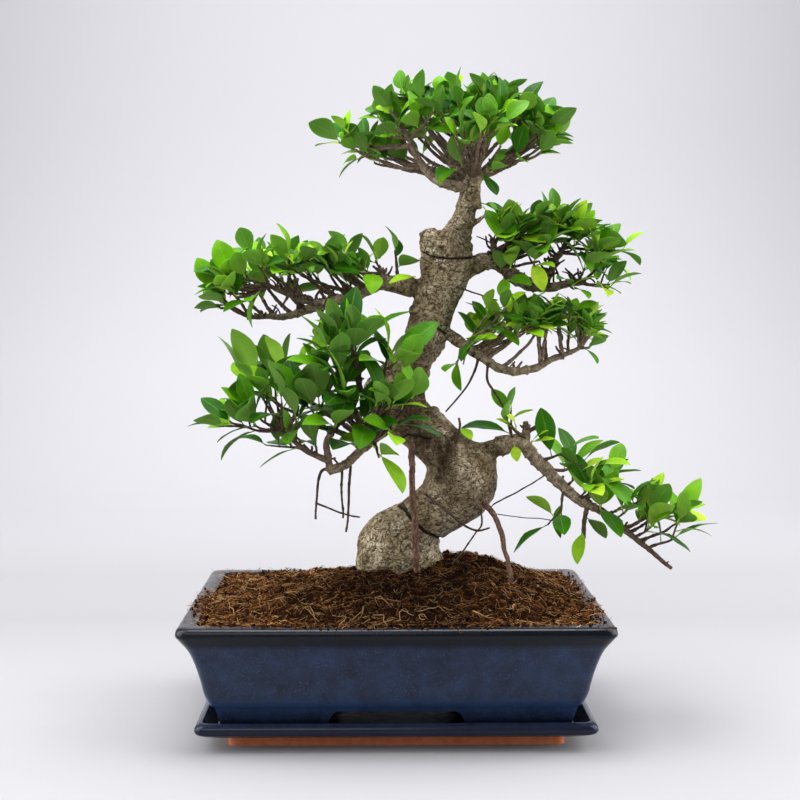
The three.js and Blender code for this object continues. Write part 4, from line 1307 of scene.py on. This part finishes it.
def make_branches():
    for plan in grow_all():
        draw = seeded(plan["branch"]["seed"] + 2000)
        growth = plan["growth"]
        pale = growth["pale"]
        wood = Shape()
        for bough in plan["boughs"]:
            thick = [(at, radius * growth["girth"]) for at, radius in bough]
            add_wood(wood, thick, 14, pale, 2.2, 0.2)
        for shoot in plan["shoots"] + plan["fillers"]:
            add_wood(wood, shoot, 6, pale, 1.6, 0.3)
        for twig in plan["twigs"]:
            add_wood(wood, twig, 5, pale, 0.8, 0.25)
        finished(wood.build(plan["name"] + "_wood", [TWIG]), "bark")
        tips = [shoot[-1][0] for shoot in plan["shoots"]]
        middle = sum(tips, Vector()) / len(tips)
        leaves = Shape()
        for leaf in plan["leaves"] + plan["small"]:
            light = Vector((leaf[1].x - middle.x, leaf[1].y - middle.y, 30)).normalized()
            age = within(0.06 + growth["young"] + 0.8 * draw() ** 1.3, 0, 1)
            add_leaf(leaves, leaf, draw, age, light, growth["broad"])
        finished(leaves.build(plan["name"] + "_leaves", [LEAF], 60), "foliage", plan["name"])


# ---------------------------------------------------------------- hanging roots and thin shoots
HANGING_ROOTS = (
    ((-66, 246, -50, 1.6), (-73, 243, -50, 1.5), (-77, 225, -50, 1.2), (-79, 196, -50, 1)),
    ((-78, 212, -50, 1), (-56, 203, -49, 0.9), (-35, 198, -48, 0.8)),
    ((-53, 246, -46, 1.4), (-53, 226, -46, 1.2), (-52, 197, -46, 1)),
    ((-44, 256, -42, 1.4), (-46, 215, -42, 1.3), (-49, 183, -42, 1)),
    ((96, 352, -12, 1.7), (91, 350, -14, 1.5), (91, 336, -16, 1.3), (97, 324, -18, 1.2),
     (110, 304, -20, 1)),
    ((82, 358, -10, 1.5), (72, 330, -14, 1), (50, 303, -22, 0.8)),
    ((97, 210, -12, 0.8), (124, 225, -16, 0.8), (149, 240, -16, 0.7)),
    ((97, 210, -12, 0.5), (96, 202, -14, 0.5), (124, 198, -18, 0.5), (160, 194, -30, 0.5)),
    ((30, 221, -34, 1.3), (47, 207, -35, 1.3), (64, 193, -34, 1.2), (82, 184, -28, 1.1),
     (94, 187, -24, 0.8)),
    ((85, 205, -24, 1), (86, 190, -26, 0.9), (78, 179, -28, 0.8), (57, 150, -30, 0.8)),
    ((60, 426, -14, 1), (78, 420, -10, 0.8), (101, 413, -10, 0.6)),
    ((194, 215, -20, 2.6), (188, 195, -24, 2.3), (187, 168, -26, 2.0)),
    ((130, 288, -12, 3.2), (129, 293, -12, 2.6)),
    ((133, 284, -12, 2.4), (142, 288, -14, 2.2)),
    ((131, 276, -12, 2.0), (120, 283, -20, 1.6), (114, 291, -26, 1.3)),
    ((58, 268, -24, 1.6), (64, 287, -32, 1.3), (63, 297, -33, 1.1)))
# Young leaves on those: where each starts and ends, as (x, z, depth), its width, and how young it is.
YOUNG_LEAVES = (
    ((64, 287, -32), (76, 276, -42), 10, 0.75), ((120, 285, -22), (112, 300, -34), 11, 0.95),
    ((120, 285, -22), (100, 296, -30), 7, 0.9), ((134, 272, -16), (152, 284, -26), 9, 0.85),
    ((134, 272, -16), (158, 276, -26), 6, 0.9), ((118, 270, -18), (121, 254, -30), 10, 0.9),
    ((86, 505, -10), (104, 470, -24), 23, 0.55), ((84, 508, -4), (112, 494, 6), 15, 0.3),
    ((20, 436, -16), (-6, 432, -30), 8, 0.85))


def make_hanging_roots():
    shape = Shape()
    for path in HANGING_ROOTS:
        add_wood(shape, [placed(s) for s in path], 7, 0.1, 1.2, 0.2)
    finished(shape.build("hanging_roots", [TWIG]), "bark")
    draw = seeded(3)
    leaves = Shape()
    for start, end, width, age in YOUNG_LEAVES:
        base, tip = sight(*start), sight(*end)
        along = (tip - base).normalized()
        add_leaf(leaves, (base, tip, width, across(UP, along)), draw, age, Vector((0, -1, 0.3)))
    finished(leaves.build("young_leaves", [LEAF], 60), "foliage")


# ---------------------------------------------------------------- studio
def stage_material():
    mat = Look("studio_paper", Specular_IOR_Level=0.1)
    # The way back along the floor and up the wall: here its height and its depth add up.
    back = mat.vector("DOT_PRODUCT", mat.place, (0, 1, 1), "Value")
    # Its tone along the sweep is painted light and shade: darker on the floor, with a darker dip behind the
    # pot, and brighter up the wall.
    stops = ((0, 0.375), (0.11, 0.32), (0.19, 0.37), (0.28, 0.48), (0.38, 0.6), (0.6, 0.65), (1, 0.63))
    color = mat.ramp(mat.share(back, 0, 4000),
                     *((at, (value, value * 0.99, value * 1.035)) for at, value in stops))
    grain = mat.ramp(mat.noise(3), (0.3, 0.88), (0.7, 0.94))
    return mat.finish(color, grain)


def make_stage():
    """A paper sweep: the floor, a wide bend and the wall behind."""
    bend, wall, front, half = 900, 1500, -2600, 3200
    outline = [(front, 0), (wall, 0)]
    outline += [(wall + bend * math.sin(a), bend - bend * math.cos(a))
                for a in (math.pi / 2 * k / 16 for k in range(1, 17))]
    outline.append((wall + bend, 3800))
    shape = Shape()
    faces = [(2 * k, 2 * k + 1, 2 * k + 3, 2 * k + 2) for k in range(len(outline) - 1)]
    shape.add([Vector((x, y, z)) for y, z in outline for x in (-half, half)], faces)
    shape.build("studio_sweep", [stage_material()])


def area_light(name, at, target, size, power):
    light = bpy.data.lights.new(name, "AREA")
    light.shape = "RECTANGLE"
    light.size, light.size_y = size
    light.energy = power
    obj = linked(name, light)
    obj.location = Vector(at) * MM
    obj.rotation_euler = (Vector(target) - Vector(at)).to_track_quat("-Z", "Y").to_euler()


def make_world():
    """A soft pale room, darker on the viewer's side."""
    room = Graph(bpy.data.worlds.new("studio"))
    way = room.node("TexCoord").outputs["Generated"]
    share = room.share(room.node("SeparateXYZ", {0: way}).outputs["Y"], -0.9, 0.5)
    color = room.ramp(share, (0, (0.2, 0.2, 0.207)), (0.6, (0.26, 0.26, 0.27)), (1, (0.4, 0.4, 0.41)))
    room.tree.links.new(color, room.tree.nodes["Background"].inputs["Color"])
    bpy.context.scene.world = room.owner


def make_lights():
    middle = (20, 0, 330)
    area_light("softbox_top", (0, 0, 1700), middle, (1.0, 1), 28)
    area_light("softbox_left", (-1300, -150, 1000), middle, (1.5, 1.9), 36)
    area_light("softbox_right", (1300, 0, 900), middle, (1.5, 1.9), 36)
    area_light("softbox_front", (-500, -1700, 1300), middle, (1.2, 1.2), 10)
    area_light("wall_light", (200, 1000, 2400), (200, 2400, 1000), (2.4, 0.6), 25)
    make_world()
    bpy.context.scene.view_settings.view_transform = "Standard"


FOCAL_PIXELS = 1453
PICTURE_PIXELS = 800
RIGHT_PIXELS = 20
DOWN_PIXELS = 97


def make_camera():
    camera = bpy.data.cameras.new("camera")
    camera.sensor_width = 36
    camera.lens = camera.sensor_width * FOCAL_PIXELS / PICTURE_PIXELS
    camera.clip_end = 20
    obj = linked("camera", camera)
    obj.location = EYE * MM
    turn_right = math.atan(RIGHT_PIXELS / FOCAL_PIXELS)
    look_down = math.atan(DOWN_PIXELS / FOCAL_PIXELS)
    obj.rotation_euler = (math.pi / 2 - look_down, 0, -turn_right)
    bpy.context.scene.camera = obj


make_camera()
make_pot()
make_saucer()
make_soil()
make_trunk()
make_branches()
make_hanging_roots()
MESH_PLASTIC = mesh_plastic_material()
for screen in ("drain_screen_left", "drain_screen_right"):
    for material_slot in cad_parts[screen].material_slots:
        material_slot.material = MESH_PLASTIC
make_stage()
make_lights()
